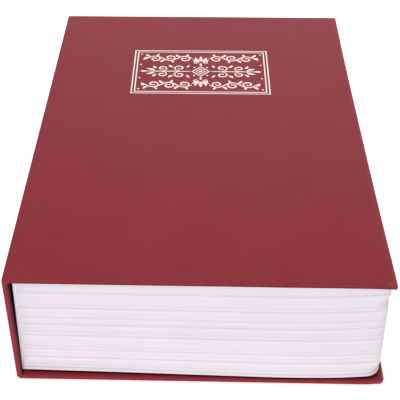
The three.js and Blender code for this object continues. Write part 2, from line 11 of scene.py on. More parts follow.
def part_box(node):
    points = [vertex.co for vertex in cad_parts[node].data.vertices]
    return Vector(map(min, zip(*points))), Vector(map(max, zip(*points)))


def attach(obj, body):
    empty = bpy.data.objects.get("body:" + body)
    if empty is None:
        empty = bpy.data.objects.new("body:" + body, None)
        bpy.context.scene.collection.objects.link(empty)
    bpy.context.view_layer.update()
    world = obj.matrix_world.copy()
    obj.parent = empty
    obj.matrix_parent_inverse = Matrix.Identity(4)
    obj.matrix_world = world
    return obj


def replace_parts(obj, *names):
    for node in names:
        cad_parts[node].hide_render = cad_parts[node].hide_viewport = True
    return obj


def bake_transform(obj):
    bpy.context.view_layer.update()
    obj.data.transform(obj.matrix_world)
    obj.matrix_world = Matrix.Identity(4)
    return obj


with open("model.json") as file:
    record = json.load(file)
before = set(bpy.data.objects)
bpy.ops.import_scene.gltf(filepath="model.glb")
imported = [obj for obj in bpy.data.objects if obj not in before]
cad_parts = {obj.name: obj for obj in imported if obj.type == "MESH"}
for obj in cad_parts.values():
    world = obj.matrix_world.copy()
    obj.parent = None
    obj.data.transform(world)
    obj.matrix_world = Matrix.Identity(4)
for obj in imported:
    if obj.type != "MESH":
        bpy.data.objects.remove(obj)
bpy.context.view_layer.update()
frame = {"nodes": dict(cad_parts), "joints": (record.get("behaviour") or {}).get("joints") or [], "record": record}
mm = 0.001
hair = 0.01 * mm  # tells apart faces that lie close together
weldReach = 0.001 * mm
white = (1, 1, 1, 1)
scene = bpy.context.scene
print("frame loaded:", len(frame["nodes"]), "nodes")


# places taken from the frame

def jointPlace(name):
    joint = next(j for j in frame["joints"] if j["name"] == name)
    return Vector(joint["pos_m"])


frontLow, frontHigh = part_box("front_covering")
backLow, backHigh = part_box("back_covering")
lowerPivot = jointPlace("spine_hinge")
upperPivot = jointPlace("cover_hinge")
lockAxis = jointPlace("lock_turn")
book = {
    "halfLength": frontHigh.y,
    "coverTop": frontHigh.z,
    "coverThickness": backHigh.z - backLow.z,
    "jointRadius": lowerPivot.z,
    "frontSeam": frontLow.x,
    "frontRight": frontHigh.x,
    "backSeam": backLow.x,
    "backRight": backHigh.x,
}


# mesh helpers

def linkObject(name, data):
    item = bpy.data.objects.new(name, data)
    scene.collection.objects.link(item)
    return item


def finishPiece(bm, mesh, materials, crease=38):
    # writes the edited mesh back, smooth but for the edges sharper than crease
    bm.to_mesh(mesh)
    bm.free()
    for material in materials:
        mesh.materials.append(material)
    mesh.shade_smooth()
    mesh.set_sharp_from_angle(angle=math.radians(crease))
    return linkObject(mesh.name, mesh)


def paint(mesh, name, values):
    # a number for each vertex, which the materials read by its name
    mesh.attributes.new(name, "FLOAT", "POINT").data.foreach_set("value", values)


def meshPiece(name, points, faces, materials, crease=38, faceSlot=None, shadings=None):
    mesh = bpy.data.meshes.new(name)
    mesh.from_pydata([tuple(p) for p in points], [], faces)
    if faceSlot:
        mesh.polygons.foreach_set("material_index", faceSlot)
    if shadings:
        paint(mesh, "paintedShading", shadings)
    bm = bmesh.new()
    bm.from_mesh(mesh)
    bmesh.ops.remove_doubles(bm, verts=bm.verts, dist=weldReach)
    bmesh.ops.dissolve_degenerate(bm, edges=bm.edges, dist=weldReach)
    bmesh.ops.recalc_face_normals(bm, faces=bm.faces)
    return finishPiece(bm, mesh, materials, crease)


def nodeCopy(node, name):
    # a CAD solid's mesh as a new one, its coplanar triangles joined
    mesh = frame["nodes"][node].data.copy()
    mesh.name = name
    mesh.materials.clear()
    bm = bmesh.new()
    bm.from_mesh(mesh)
    bmesh.ops.remove_doubles(bm, verts=bm.verts, dist=weldReach)
    bmesh.ops.dissolve_limit(bm, angle_limit=math.radians(1), verts=bm.verts, edges=bm.edges)
    return mesh, bm


def cutAcross(bm, geometry, axis, value):
    place, normal = Vector(), Vector()
    place[axis], normal[axis] = value, 1
    bmesh.ops.bisect_plane(bm, geom=geometry, dist=1e-7, plane_co=place, plane_no=normal)


def ringFaces(ringCount, ringSize, closedLoop=False):
    # quads between rings of equal size; an end face on the first and the last, unless the row closes on itself
    faces = []
    for k in range(ringCount if closedLoop else ringCount - 1):
        nextRing = (k + 1) % ringCount
        for i in range(ringSize):
            j = (i + 1) % ringSize
            faces.append((k * ringSize + i, k * ringSize + j, nextRing * ringSize + j, nextRing * ringSize + i))
    if not closedLoop:
        faces.append(tuple(range(ringSize)))
        faces.append(tuple((ringCount - 1) * ringSize + i for i in range(ringSize)))
    return faces


def spread(low, high, step):
    count = max(1, round((high - low) / step))
    return [low + (high - low) * i / count for i in range(count + 1)]


def smoothStep(t):
    t = min(1.0, max(0.0, t))
    return t * t * (3 - 2 * t)


def ramp(value, start, length):
    # 0 up to start, 1 from start + length on, smooth between
    return smoothStep((value - start) / length)


# material helpers

class Surface:
    # a material under construction: add() makes a node and links what it is given
    def __init__(self, name):
        self.material = bpy.data.materials.new(name)
        self.material.use_nodes = True
        self.tree = self.material.node_tree
        self.shader = self.tree.nodes["Principled BSDF"]
        self.place = self.add("ShaderNodeTexCoord").outputs["Object"]

    def add(self, kind, settings=None, **inputs):
        node = self.tree.nodes.new(kind)
        for key, value in (settings or {}).items():
            setattr(node, key, value)
        for key, value in inputs.items():
            self.feed(node.inputs[key.replace("_", " ")], value)
        return node

    def feed(self, socket, value):
        if isinstance(value, bpy.types.NodeSocket):
            self.tree.links.new(value, socket)
        else:
            socket.default_value = value

    def math(self, operation, a, b=0.0):
        node = self.add("ShaderNodeMath", {"operation": operation})
        self.feed(node.inputs[0], a)
        self.feed(node.inputs[1], b)
        return node.outputs[0]

    def mix(self, share, a, b):
        node = self.add("ShaderNodeMix", {"data_type": "RGBA"})
        self.feed(node.inputs[0], share)
        self.feed(node.inputs[6], a)
        self.feed(node.inputs[7], b)
        return node.outputs[2]

    def spreadTo(self, value, low, high, toLow, toHigh):
        node = self.add("ShaderNodeMapRange", Value=value)
        for key, number in {1: low, 2: high, 3: toLow, 4: toHigh}.items():
            node.inputs[key].default_value = number
        return node.outputs[0]

    def vary(self, noise, low, high):
        # a noise rarely leaves 0.3 to 0.7, so that much of it goes from low to high
        return self.spreadTo(noise, 0.3, 0.7, low, high)

    def painted(self, name):
        return self.add("ShaderNodeAttribute", {"attribute_name": name}).outputs["Fac"]

    def noise(self, size, detail=3.0, roughness=0.5):
        node = self.add("ShaderNodeTexNoise", Vector=self.place, Scale=1 / size, Detail=detail, Roughness=roughness)
        return node.outputs["Fac"]

    def bump(self, height, depth, strength=1.0, under=None):
        node = self.add("ShaderNodeBump", Height=height, Distance=depth, Strength=strength)
        if under is not None:
            self.feed(node.inputs["Normal"], under)
        return node.outputs["Normal"]

    def set(self, **inputs):
        for key, value in inputs.items():
            self.feed(self.shader.inputs[key.replace("_", " ")], value)


blockFoot = {
    # each side of the block's foot: which way it faces (to the fore-edge, to the tail) and how far out it lies
    "sides": [
        ((-0.0208, 1.0), 118.6 * mm), ((0.045, 1.0), 121.2 * mm), ((0.494, 0.869), 137.64 * mm),
        ((0.846, 0.534), 124.68 * mm), ((1.0, 0.0), 75.84 * mm), ((0.0, -1.0), 118.05 * mm),
    ],
    "tailShade": 0.5 * mm,  # how far the painted shade in the slot reaches out from the foot
    "foreShade": 3.2 * mm,
    "corner": (71 * mm, 76 * mm),  # between these places the one grows into the other
    "spineEnd": (-72 * mm, -71 * mm),
    "paperFrom": (1.9 * mm, 2.1 * mm),  # heights of the cover's inner face, flat and where its corner is bent up
    "paperTo": (3.0 * mm, 4.0 * mm),
}


def underBlock(s):
    # 1 on the back cover's paper from just outside the block's foot inwards: painted shade in the slot under the
    # block
    x, y, z = s.add("ShaderNodeSeparateXYZ", Vector=s.place).outputs
    past = -1.0
    for (outX, outY), reach in blockFoot["sides"]:
        away = s.math("SUBTRACT", s.math("MULTIPLY", x, outX), s.math("MULTIPLY", y, outY))
        past = s.math("MAXIMUM", s.math("SUBTRACT", away, reach), past)
    width = s.spreadTo(x, *blockFoot["corner"], blockFoot["tailShade"], blockFoot["foreShade"])
    near = s.spreadTo(s.math("DIVIDE", past, width), 0.1, 1.0, 1.0, 0.0)
    fromLow, toHigh = s.spreadTo(z, *blockFoot["paperFrom"], 0.0, 1.0), s.spreadTo(z, *blockFoot["paperTo"], 1.0, 0.0)
    inX = s.spreadTo(x, *blockFoot["spineEnd"], 0.0, 1.0)
    return s.math("MULTIPLY", near, s.math("MULTIPLY", s.math("MULTIPLY", fromLow, toHigh), inX))


def leatherPaper():
    # dark red embossed binding paper: fine pebbled grain, slightly uneven dye, rubbed pale and painted with highlight
    # along its edges, painted shade low on their sides and in the slot under the page block
    look = {
        "colour": (0.228, 0.0138, 0.0246, 1),
        "deep": (0.210, 0.0119, 0.0220, 1),
        "wearAndHighlightColour": (0.29, 0.056, 0.068, 1),
        "shadeColour": (0.02, 0.001, 0.003, 1),
        "slotShade": 0.9,
        "dye": (26 * mm, 4),  # noises: size, detail, roughness
        "fibre": (1.7 * mm, 5, 0.6),
        "grainSize": 0.55 * mm,
        "grainBump": (0.035 * mm, 0.55),
        "fibreBump": (0.05 * mm, 0.3),
        "grainTone": 0.22,
        "roughness": (0.5, 0.62),
        "gloss": 0.085,
        "sheen": 0.095,
        "sheenTint": (0.9, 0.32, 0.36, 1),
    }
    s = Surface("leather_paper")
    grain = s.add("ShaderNodeTexVoronoi", {"feature": "SMOOTH_F1"}, Vector=s.place, Scale=1 / look["grainSize"])
    pebble = s.spreadTo(grain.outputs["Distance"], 0.1, 0.75, 1.0, 0.0)
    dye, fibre = s.noise(*look["dye"]), s.noise(*look["fibre"])
    base = s.mix(s.vary(dye, 0.0, 1.0), look["colour"], look["deep"])
    base = s.mix(s.spreadTo(pebble, 0.0, 1.0, look["grainTone"], 0.0), base, look["deep"])
    # painted shade: the shade attribute and the slot under the page block darken the paper towards the painted shade
    # colour
    slotShade = s.math("MULTIPLY", underBlock(s), look["slotShade"])
    base = s.mix(s.math("MAXIMUM", s.painted("shade"), slotShade), base, look["shadeColour"])
    # wear and painted highlight: the painted attribute, patchy with the fibre, mixes in the paler colour
    patchy = s.math("MULTIPLY", s.painted("wearAndHighlight"), s.spreadTo(fibre, 0.35, 0.65, 0.35, 1.0))
    s.set(
        Base_Color=s.mix(patchy, base, look["wearAndHighlightColour"]),
        Roughness=s.vary(fibre, *look["roughness"]),
        Normal=s.bump(pebble, *look["grainBump"], s.bump(fibre, *look["fibreBump"])),
        Specular_IOR_Level=look["gloss"],
        Sheen_Weight=look["sheen"],
        Sheen_Roughness=0.5,
        Sheen_Tint=look["sheenTint"],
    )
    return s.material


# plain finishes: a noise mixes the two shades; the grain, where it isn't the same noise, roughens and bumps
plainLooks = {
    "black_lining_paper": {
        "shades": ((0.009, 0.009, 0.010, 1), (0.021, 0.021, 0.023, 1)),
        "tint": (0.9 * mm, 5, 0.65),  # size, detail, roughness
        "bump": (0.05 * mm, 0.35),  # depth, strength
        "surface": {"Roughness": 0.82, "Specular_IOR_Level": 0.3},
    },
    "grey_board": {
        "shades": ((0.20, 0.185, 0.16, 1), (0.32, 0.30, 0.26, 1)),
        "tint": (1.1 * mm, 6, 0.7),
        "bump": (0.12 * mm, 0.5),
        "surface": {"Roughness": 0.92},
    },
    "gutter_shade_paper": {  # painted shade: binding paper made dark for the shade in the pressed gutter, its grain pressed flat
        "shades": ((0.052, 0.010, 0.014, 1), (0.080, 0.014, 0.019, 1)),
        "tint": (1.2 * mm, 4),
        "surface": {"Roughness": 0.5, "Specular_IOR_Level": 0.15},
    },
    "stamped_foil": {  # pale hot-stamped foil, thin in places where the grain shows through
        "shades": ((0.76, 0.57, 0.59, 1), (0.42, 0.19, 0.20, 1)),
        "tint": (0.6 * mm, 4, 0.6),
        "share": (0.58, 0.72, 0.0, 0.55),
        "bump": (0.02 * mm, 0.3),
        "surface": {"Metallic": 0.2, "Roughness": 0.45},
    },
    "black_powder_coat": {
        "shades": ((0.010, 0.010, 0.011, 1), (0.022, 0.022, 0.024, 1)),
        "tint": (0.22 * mm, 2, 0.5),
        "tintBump": (0.015 * mm, 0.3),
        "grain": (0.8 * mm, 2, 0.4),
        "bump": (0.06 * mm, 0.4),
        "roughness": (0.36, 0.5),
        "surface": {},
    },
    "zinc_plated_steel": {
        "shades": ((0.50, 0.50, 0.51, 1), (0.62, 0.62, 0.62, 1)),
        "tint": (4 * mm, 3),
        "grain": (0.35 * mm, 3),
        "bump": (0.01 * mm, 0.2),
        "roughness": (0.24, 0.38),
        "surface": {"Metallic": 1.0},
    },
}


def plainFinish(name):
    look, s = plainLooks[name], Surface(name)
    tint = s.noise(*look["tint"])
    grain = s.noise(*look["grain"]) if "grain" in look else tint
    share = s.spreadTo(tint, *look["share"]) if "share" in look else tint
    s.set(Base_Color=s.mix(share, *look["shades"]), **look["surface"])
    if "roughness" in look:
        s.set(Roughness=s.vary(grain, *look["roughness"]))
    if "bump" in look:
        under = s.bump(tint, *look["tintBump"]) if "tintBump" in look else None
        s.set(Normal=s.bump(grain, *look["bump"], under))
    return s.material


def pagePlastic():
    # satin white moulding with a faint warm-violet cast; painted shade darkens each bundle of pages towards its foot,
    # painted highlights lighten page edges
    look = {
        "faces": ((0.684, 0.622, 0.678, 1), (0.674, 0.617, 0.671, 1)),
        "pale": (0.76, 0.70, 0.755, 1),
        "dark": (0.52, 0.475, 0.515, 1),
        "cloud": (18 * mm, 3),
        "roughness": (0.44, 0.54),
        "grain": (0.5 * mm, 3),
        "bump": (0.02 * mm, 0.25),
        "gloss": 0.4,
    }
    s = Surface("page_plastic")
    # painted shading: below 0 it mixes towards the painted highlight colour, above 0 towards the painted shade colour
    paintedShading, cloud = s.painted("paintedShading"), s.noise(*look["cloud"])
    face = s.mix(s.spreadTo(cloud, 0.35, 0.65, 0.0, 1.0), *look["faces"])
    face = s.mix(s.spreadTo(paintedShading, -1.0, 0.0, 1.0, 0.0), face, look["pale"])
    s.set(
        Base_Color=s.mix(s.spreadTo(paintedShading, 0.0, 2.0, 0.0, 1.0), face, look["dark"]),
        Roughness=s.vary(cloud, *look["roughness"]),
        Normal=s.bump(s.noise(*look["grain"]), *look["bump"]),
        Specular_IOR_Level=look["gloss"],
    )
    return s.material


def lockChrome():
    # turned face: rings about the lock's axis
    look = {
        "colour": (0.66, 0.66, 0.67, 1),
        "ringSize": 0.12 * mm,
        "bump": (0.006 * mm, 0.25),
        "roughness": (0.16, 0.28),
    }
    s = Surface("lock_chrome")
    reach = s.place
    for operation, other in (("SUBTRACT", (lockAxis.x, lockAxis.y, 0)), ("MULTIPLY", (1, 1, 0)), ("LENGTH", None)):
        step = s.add("ShaderNodeVectorMath", {"operation": operation})
        s.feed(step.inputs[0], reach)
        if other:
            s.feed(step.inputs[1], other)
        reach = step.outputs["Value" if operation == "LENGTH" else "Vector"]
    rings = s.add("ShaderNodeTexNoise", {"noise_dimensions": "1D"}, Scale=1 / look["ringSize"], Detail=2.0)
    s.feed(rings.inputs["W"], reach)
    s.set(
        Base_Color=look["colour"],
        Metallic=1.0,
        Roughness=s.vary(rings.outputs["Fac"], *look["roughness"]),
        Normal=s.bump(rings.outputs["Fac"], *look["bump"]),
    )
    return s.material


leather = leatherPaper()
gutterShade = plainFinish("gutter_shade_paper")
lining = plainFinish("black_lining_paper")
cardCore = plainFinish("grey_board")
plastic = pagePlastic()
powder = plainFinish("black_powder_coat")
plated = plainFinish("zinc_plated_steel")
chrome = lockChrome()
foil = plainFinish("stamped_foil")
print("materials ready")


# covers: one sheet wrapped round three edges of a board, its ends turned in

cover = {
    "outerNose": 0.9 * mm,  # rounding of the wrapped edge, outer and inner side
    "innerNose": 0.4 * mm,
    "noseSteps": 5,
    "corner": 0.5 * mm,
    "bluntCorner": 1.8 * mm,  # the back cover's corners have been knocked blunt
    "turnIn": 6 * mm,
    "turnInEdge": (0.12 * mm, 0.1 * mm),
    "sheet": 0.3 * mm,
    "boardGap": 0.35 * mm,
    "grid": 7 * mm,
    "cardGrid": 2 * mm,
    "splayGrid": 12 * mm,
    "spineGrid": 4 * mm,
    "wearAndHighlightReach": 1.8 * mm,
    "bare": 2.0 * mm,  # along the spine the black lining runs up to here from the ends
}


def noseArc(thickness):
    # the wrapped edge, from the outer face round to the inner one
    outer, inner = cover["outerNose"], cover["innerNose"]
    quarter = [math.pi / 2 * i / cover["noseSteps"] for i in range(cover["noseSteps"] + 1)]
    points = [(outer - outer * math.sin(a), outer - outer * math.cos(a)) for a in quarter]
    return points + [(inner - inner * math.cos(a), thickness - inner + inner * math.sin(a)) for a in quarter]


def wrapProfile(thickness):
    # (distance in from the edge, depth below the outer face), from the outer face round to the turned-in end
    turn, sheet, flat = cover["turnIn"], cover["sheet"], cover["wearAndHighlightReach"] + cover["outerNose"]
    back, down = cover["turnInEdge"]
    points = [(flat, 0.0)] + noseArc(thickness) + [(cover["bare"], thickness)]
    points += [(flat, thickness), (turn - back, thickness), (turn, thickness - down)]
    points += [(turn, thickness - sheet), (cover["boardGap"], thickness - sheet), (cover["boardGap"], sheet)]
    return points


def coverStations(seam, right, half, corner):
    stations = [("tail", x) for x in spread(seam, right - corner, cover["grid"])]
    stations += [("tailCorner", math.radians(a)) for a in range(-75, 0, 15)]
    stations += [("fore", y) for y in spread(corner - half, half - corner, cover["grid"])]
    stations += [("headCorner", math.radians(a)) for a in range(15, 90, 15)]
    stations += [("head", x) for x in reversed(spread(seam, right - corner, cover["grid"]))]
    return stations


def coverPoint(station, inward, right, half, corner):
    kind, value = station
    centre = max(corner, inward)
    radius = centre - inward
    if kind == "tail":
        return min(value, right - centre), inward - half
    if kind == "head":
        return min(value, right - centre), half - inward
    if kind == "fore":
        return right - inward, max(centre - half, min(half - centre, value))
    end = -1 if kind == "tailCorner" else 1
    return right - centre + radius * math.cos(value), end * (half - centre) + radius * math.sin(value)


def sliceGrid(bm, low, high, step):
    # cuts the large flat faces into a lattice, so that they can bend
    for axis in (0, 1):
        for value in spread(low[axis], high[axis], step)[1:-1]:
            cutAcross(bm, list(bm.verts) + list(bm.edges) + list(bm.faces), axis, value)


# how the wrapped edges get wear and painted highlight, and painted shade low on their sides; a depth is counted from
# the cover's outer face
edgeWearAndShading = {
    "rubAndHighlight": 0.40,
    "rubAndHighlightReach": 1.5 * cover["wearAndHighlightReach"],
    "cornerRub": 0.5,
    "cornerReach": 6 * mm,
    "fade": (0.5 * mm, 0.9 * mm),  # depth from which a cover's share of the wear and painted highlight is lost, and over how much
    "turnInDepth": 1.9 * mm,  # the turned-in side gets painted highlight at the fore-edge alone
    "turnInHighlight": 0.45,
    "turnInReach": 1.6 * mm,
    "lowShade": (1.0 * mm, 1.0 * mm),  # painted shade low on the edge's side: depth where it begins, and over how much it grows
    "lowShadeReach": 0.45 * mm,
    "cornerShade": (3 * mm, 6 * mm),
    "endRubAndHighlight": 0.3,  # on the spine and the joints
    # painted shade on the spine's inner side
    "spineShade": 0.75,
    "front_cover_paper": {"lowShade": 0.45, "cornerShade": 0.4, "fade": 0.8},
    "back_cover_paper": {"lowShade": 0.0, "cornerShade": 0.0, "fade": 0.2},
}


def paintWearAndShading(mesh, right, half, depthOf):
    # wear and painted highlight along the three wrapped edges, most at the corners; painted shade low on the edge's
    # side
    wearAndHighlight, shade = [], []
    look, own = edgeWearAndShading, edgeWearAndShading[mesh.name]
    for vertex in mesh.vertices:
        foreEdge, endEdge = right - vertex.co.x, half - abs(vertex.co.y)
        near, depth = min(foreEdge, endEdge), depthOf(vertex.co.z)
        edge = 1 - smoothStep(near / look["rubAndHighlightReach"])
        atCorner = 1 - smoothStep(math.hypot(foreEdge, endEdge) / look["cornerReach"])
        rubAndHighlight = look["rubAndHighlight"] * edge + look["cornerRub"] * edge * atCorner
        rubAndHighlight *= 1 - own["fade"] * ramp(depth, *look["fade"])
        if depth > look["turnInDepth"]:
            rubAndHighlight += look["turnInHighlight"] * (1 - smoothStep(foreEdge / look["turnInReach"]))
        wearAndHighlight.append(rubAndHighlight)
        # painted shade low on the edge's side, stronger near the fore-edge where the cover gives a share for it
        lowShade = own["lowShade"] + own["cornerShade"] * (1 - ramp(foreEdge, *look["cornerShade"]))
        shade.append(ramp(depth, *look["lowShade"]) * lowShade if near < look["lowShadeReach"] else 0.0)
    paint(mesh, "wearAndHighlight", wearAndHighlight)
    paint(mesh, "shade", shade)


def pressPanel(bm, panel):
    # a shallow stamped field, its rim a narrow slope
    (x0, y0), (x1, y1), slope, sink = panel
    for axis, low, high in ((0, x0, x1), (1, y0, y1)):
        for value in (low, low + slope, high - slope, high):
            top = [f for f in bm.faces if f.normal.z > 0.99]
            edges = dict.fromkeys(e for f in top for e in f.edges)
            verts = dict.fromkeys(v for f in top for v in f.verts)
            cutAcross(bm, list(verts) + list(edges) + top, axis, value)
    tiny = 1e-6
    for vertex in bm.verts:
        if vertex.co.z > book["coverTop"] - tiny:
            inX = x0 + slope - tiny < vertex.co.x < x1 - slope + tiny
            if inX and y0 + slope - tiny < vertex.co.y < y1 - slope + tiny:
                vertex.co.z -= sink


def wrappedCover(name, seam, right, depthToZ, corner, bend, panel=None):
    half, thickness = book["halfLength"], book["coverThickness"]
    profile = wrapProfile(thickness)
    stations = coverStations(seam, right, half, corner)
    points, size = [], len(profile)
    for station in stations:
        for inward, depth in profile:
            x, y = coverPoint(station, inward, right, half, corner)
            points.append((x, y, depthToZ(depth)))
    faces = []
    for k in range(len(stations) - 1):
        for i in range(size - 1):
            a = k * size + i
            faces.append((a, a + 1, a + 1 + size, a + size))
    faces.append(tuple(k * size for k in range(len(stations))))
    faces.append(tuple(k * size + size - 1 for k in range(len(stations))))
    last = (len(stations) - 1) * size
    faces.append(tuple(range(size)) + tuple(last + i for i in reversed(range(size))))
    piece = meshPiece(name, points, faces, [leather])
    bm = bmesh.new()
    bm.from_mesh(piece.data)
    sliceGrid(bm, (seam, -half), (right, half), cover["grid"])
    if panel:
        pressPanel(bm, panel)
    for vertex in bm.verts:
        vertex.co += bend(vertex.co)
    bmesh.ops.recalc_face_normals(bm, faces=bm.faces)
    bm.to_mesh(piece.data)
    bm.free()
    piece.data.set_sharp_from_angle(angle=math.radians(38))
    paintWearAndShading(piece.data, right, half, depthToZ)
    return piece


# the tail corners at the fore-edge: the back cover's is bent up, the front cover's droops a little;
# the front cover's fore-edge also splays out towards its two ends
dogEar = {
    "back": {
        "right": book["backRight"], "reach": 10 * mm, "rise": 0.9 * mm, "power": 2.0,
        "splayFrom": 100 * mm, "splay": (-0.45 * mm, 0),
    },
    "front": {
        "right": book["frontRight"], "reach": 6.5 * mm, "rise": -0.3 * mm, "power": 1.6,
        "splayFrom": 30 * mm, "splay": (0.55 * mm, 0.6 * mm),
    },
    "splayDepth": 40 * mm,  # how far in from the fore-edge the splay reaches
    "splayPower": 1.8,
}


def cornerBend(which):
    ear = dogEar[which]

    def shift(point):
        inX = point.x - (ear["right"] - ear["reach"])
        inY = -point.y - (book["halfLength"] - ear["reach"])
        along = (inX + inY - ear["reach"]) / ear["reach"]
        rise = ear["rise"] * max(0.0, along) ** ear["power"] if inX > 0 and inY > 0 else 0.0
        towards = max(0.0, abs(point.y) - ear["splayFrom"]) / (book["halfLength"] - ear["splayFrom"])
        atFore = max(0.0, point.x - ear["right"] + dogEar["splayDepth"]) / dogEar["splayDepth"]
        return Vector((ear["splay"][point.y > 0] * atFore * towards ** dogEar["splayPower"], 0, rise))

    return shift


def bentCopy(name, node, which):
    # a flat CAD sheet, cut finer so that it follows the bent corner, and kept inside the rounded one
    mesh, bm = nodeCopy(node, name)
    low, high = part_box(node)
    ear, bend = dogEar[which], cornerBend(which)
    reach = ear["reach"]
    rounding = cover["bluntCorner"] if which == "back" else cover["corner"]
    centre, inner = Vector((ear["right"] - rounding, book["halfLength"] - rounding)), rounding - cover["boardGap"]
    sliceGrid(bm, (high.x - reach, low.y), (high.x, low.y + reach), cover["cardGrid"])
    splayed = high.x - dogEar["splayDepth"] - cover["cardGrid"]
    sliceGrid(bm, (splayed, low.y + reach), (high.x - reach, high.y), cover["splayGrid"])
    for vertex in bm.verts:
        past = Vector((vertex.co.x, abs(vertex.co.y))) - centre
        if min(past) > 0 and past.length > inner:
            past *= inner / past.length
            vertex.co.x, vertex.co.y = centre.x + past.x, math.copysign(centre.y + past.y, vertex.co.y)
        vertex.co += bend(vertex.co)
    return finishPiece(bm, mesh, [cardCore])


label = {
    "centre": (-0.45 * mm, 52.8 * mm),
    "outer": (71.7 * mm, 47.7 * mm),  # size of the frame's outer line, over its edges
    "inner": (68.4 * mm, 44.4 * mm),
    "line": 0.68 * mm,
    "margin": 0.5 * mm,  # how far the pressed field reaches past the frame
    "slope": 0.3 * mm,
    "sink": 0.06 * mm,
    "foil": 0.03 * mm,
    "root": 0.02 * mm,  # how far the foil reaches down into the paper
    "step": 0.0003 * mm,  # each stroke lies a hair above the one before, so none share a face
    "gutterGap": 0.12 * mm,
    "gutterRise": 0.006 * mm,
}


def labelCorner(side):
    # lower left corner of the pressed field for side -1, upper right for side 1
    return tuple(c + side * (size / 2 + label["margin"]) for c, size in zip(label["centre"], label["outer"]))


frontCover = wrappedCover(
    "front_cover_paper", book["frontSeam"], book["frontRight"], lambda depth: book["coverTop"] - depth,
    cover["corner"], cornerBend("front"), (labelCorner(-1), labelCorner(1), label["slope"], label["sink"]),
)
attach(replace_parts(frontCover, "front_covering"), "front_cover")
frontCard = bentCopy("front_cover_card", "front_board", "front")
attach(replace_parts(frontCard, "front_board"), "front_cover")
backCover = wrappedCover(
    "back_cover_paper", book["backSeam"], book["backRight"], lambda depth: depth,
    cover["bluntCorner"], cornerBend("back"),
)
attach(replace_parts(backCover, "back_covering"), "case")
backCard = bentCopy("back_cover_card", "back_board", "back")
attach(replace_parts(backCard, "back_board"), "case")
print("covers wrapped")


# stamped label: a double frame round a generic bookbinder's ornament

mitred = [(i, (i + 1) % 4, 4 + (i + 1) % 4, 4 + i) for i in range(4)]  # faces between two loops of four corners


def thinPiece(name, outlines, low, high, material):
    # each outline is a flat strip of quads or one polygon; all of them get a little thickness
    mesh = bpy.data.meshes.new(name)
    bm = bmesh.new()
    for k, (points, faces) in enumerate(outlines):
        verts = [bm.verts.new((x, y, high + k * label["step"])) for x, y in points]
        for face in faces:
            bm.faces.new([verts[i] for i in face])
    bm.normal_update()
    bmesh.ops.reverse_faces(bm, faces=[f for f in bm.faces if f.normal.z < 0])
    made = bmesh.ops.extrude_face_region(bm, geom=list(bm.faces), use_keep_orig=True)
    for element in made["geom"]:
        if isinstance(element, bmesh.types.BMVert):
            element.co.z = low
    bmesh.ops.recalc_face_normals(bm, faces=bm.faces)
    return finishPiece(bm, mesh, [material], crease=30)


def framePart(size, line):
    # a rectangular line: four mitred strips in one loop
    cx, cy = label["centre"]
    loops = []
    for inset in (0, line):
        hx, hy = size[0] / 2 - inset, size[1] / 2 - inset
        loops += [(cx - hx, cy - hy), (cx + hx, cy - hy), (cx + hx, cy + hy), (cx - hx, cy + hy)]
    return loops, mitred


def onLabel(x, y):
    # millimetres from the label's centre to the cover's frame
    return label["centre"][0] + x * mm, label["centre"][1] + y * mm


def stroke(points, widths, mirrorX=1, mirrorY=1):
    # ribbon of changing width along a line of points
    left, right = [], []
    for i, (place, width) in enumerate(zip(points, widths)):
        before, after = Vector(points[max(0, i - 1)]), Vector(points[min(len(points) - 1, i + 1)])
        along = (after - before).normalized()
        across = Vector((-along.y, along.x)) * width / 2
        for side, spot in ((left, Vector(place) + across), (right, Vector(place) - across)):
            side.append(onLabel(mirrorX * spot.x, mirrorY * spot.y))
    count = len(points)
    return left + right, [(i, i + 1, count + i + 1, count + i) for i in range(count - 1)]


def curl(centre, radius, startAngle, turns, thick):
    # a scroll that winds in and swells towards its eye
    points, widths = [], []
    for i in range(31):
        t = i / 30
        angle = math.radians(startAngle) + turns * 2 * math.pi * t
        reach = radius * (1 - 0.8 * t)
        points.append((centre[0] + reach * math.cos(angle), centre[1] + reach * math.sin(angle)))
        widths.append(thick * (0.5 + 0.6 * math.sin(math.pi * min(1, t * 1.2)) + 0.35 * t))
    return points, widths


def leaf(root, degrees, length, width, bow=0.15):
    along = Vector((math.cos(math.radians(degrees)), math.sin(math.radians(degrees))))
    side = Vector((-along.y, along.x))
    points, widths = [], []
    for i in range(11):
        t = i / 10
        points.append(tuple(Vector(root) + along * length * t + side * length * bow * math.sin(math.pi * t)))
        widths.append(width * math.sin(math.pi * (0.06 + 0.94 * t)) ** 0.8 + 0.05)
    return points, widths


def vine(x0, x1, y0, rise, halfWave, thick):
    count = int((x1 - x0) / 0.5)
    xs = [x0 + (x1 - x0) * i / count for i in range(count + 1)]
    points = [(x, y0 + rise * math.sin((x - x0) / halfWave * math.pi)) for x in xs]
    return points, [thick * (0.75 + 0.35 * math.sin(math.pi * i / count)) for i in range(count + 1)]


def disc(x, y, radius):
    ring = [onLabel(x + radius * math.cos(a), y + radius * math.sin(a)) for a in [math.pi / 8 * i for i in range(16)]]
    return ring, [tuple(range(16))]


def lozenge(wide, high, line):
    shrink = 1 - 2 * line * math.hypot(wide, high) / (wide * high)
    corners = [(-wide / 2, 0), (0, -high / 2), (wide / 2, 0), (0, high / 2)]
    points = [onLabel(x * k, y * k) for k in (1.0, shrink) for x, y in corners]
    return points, mitred


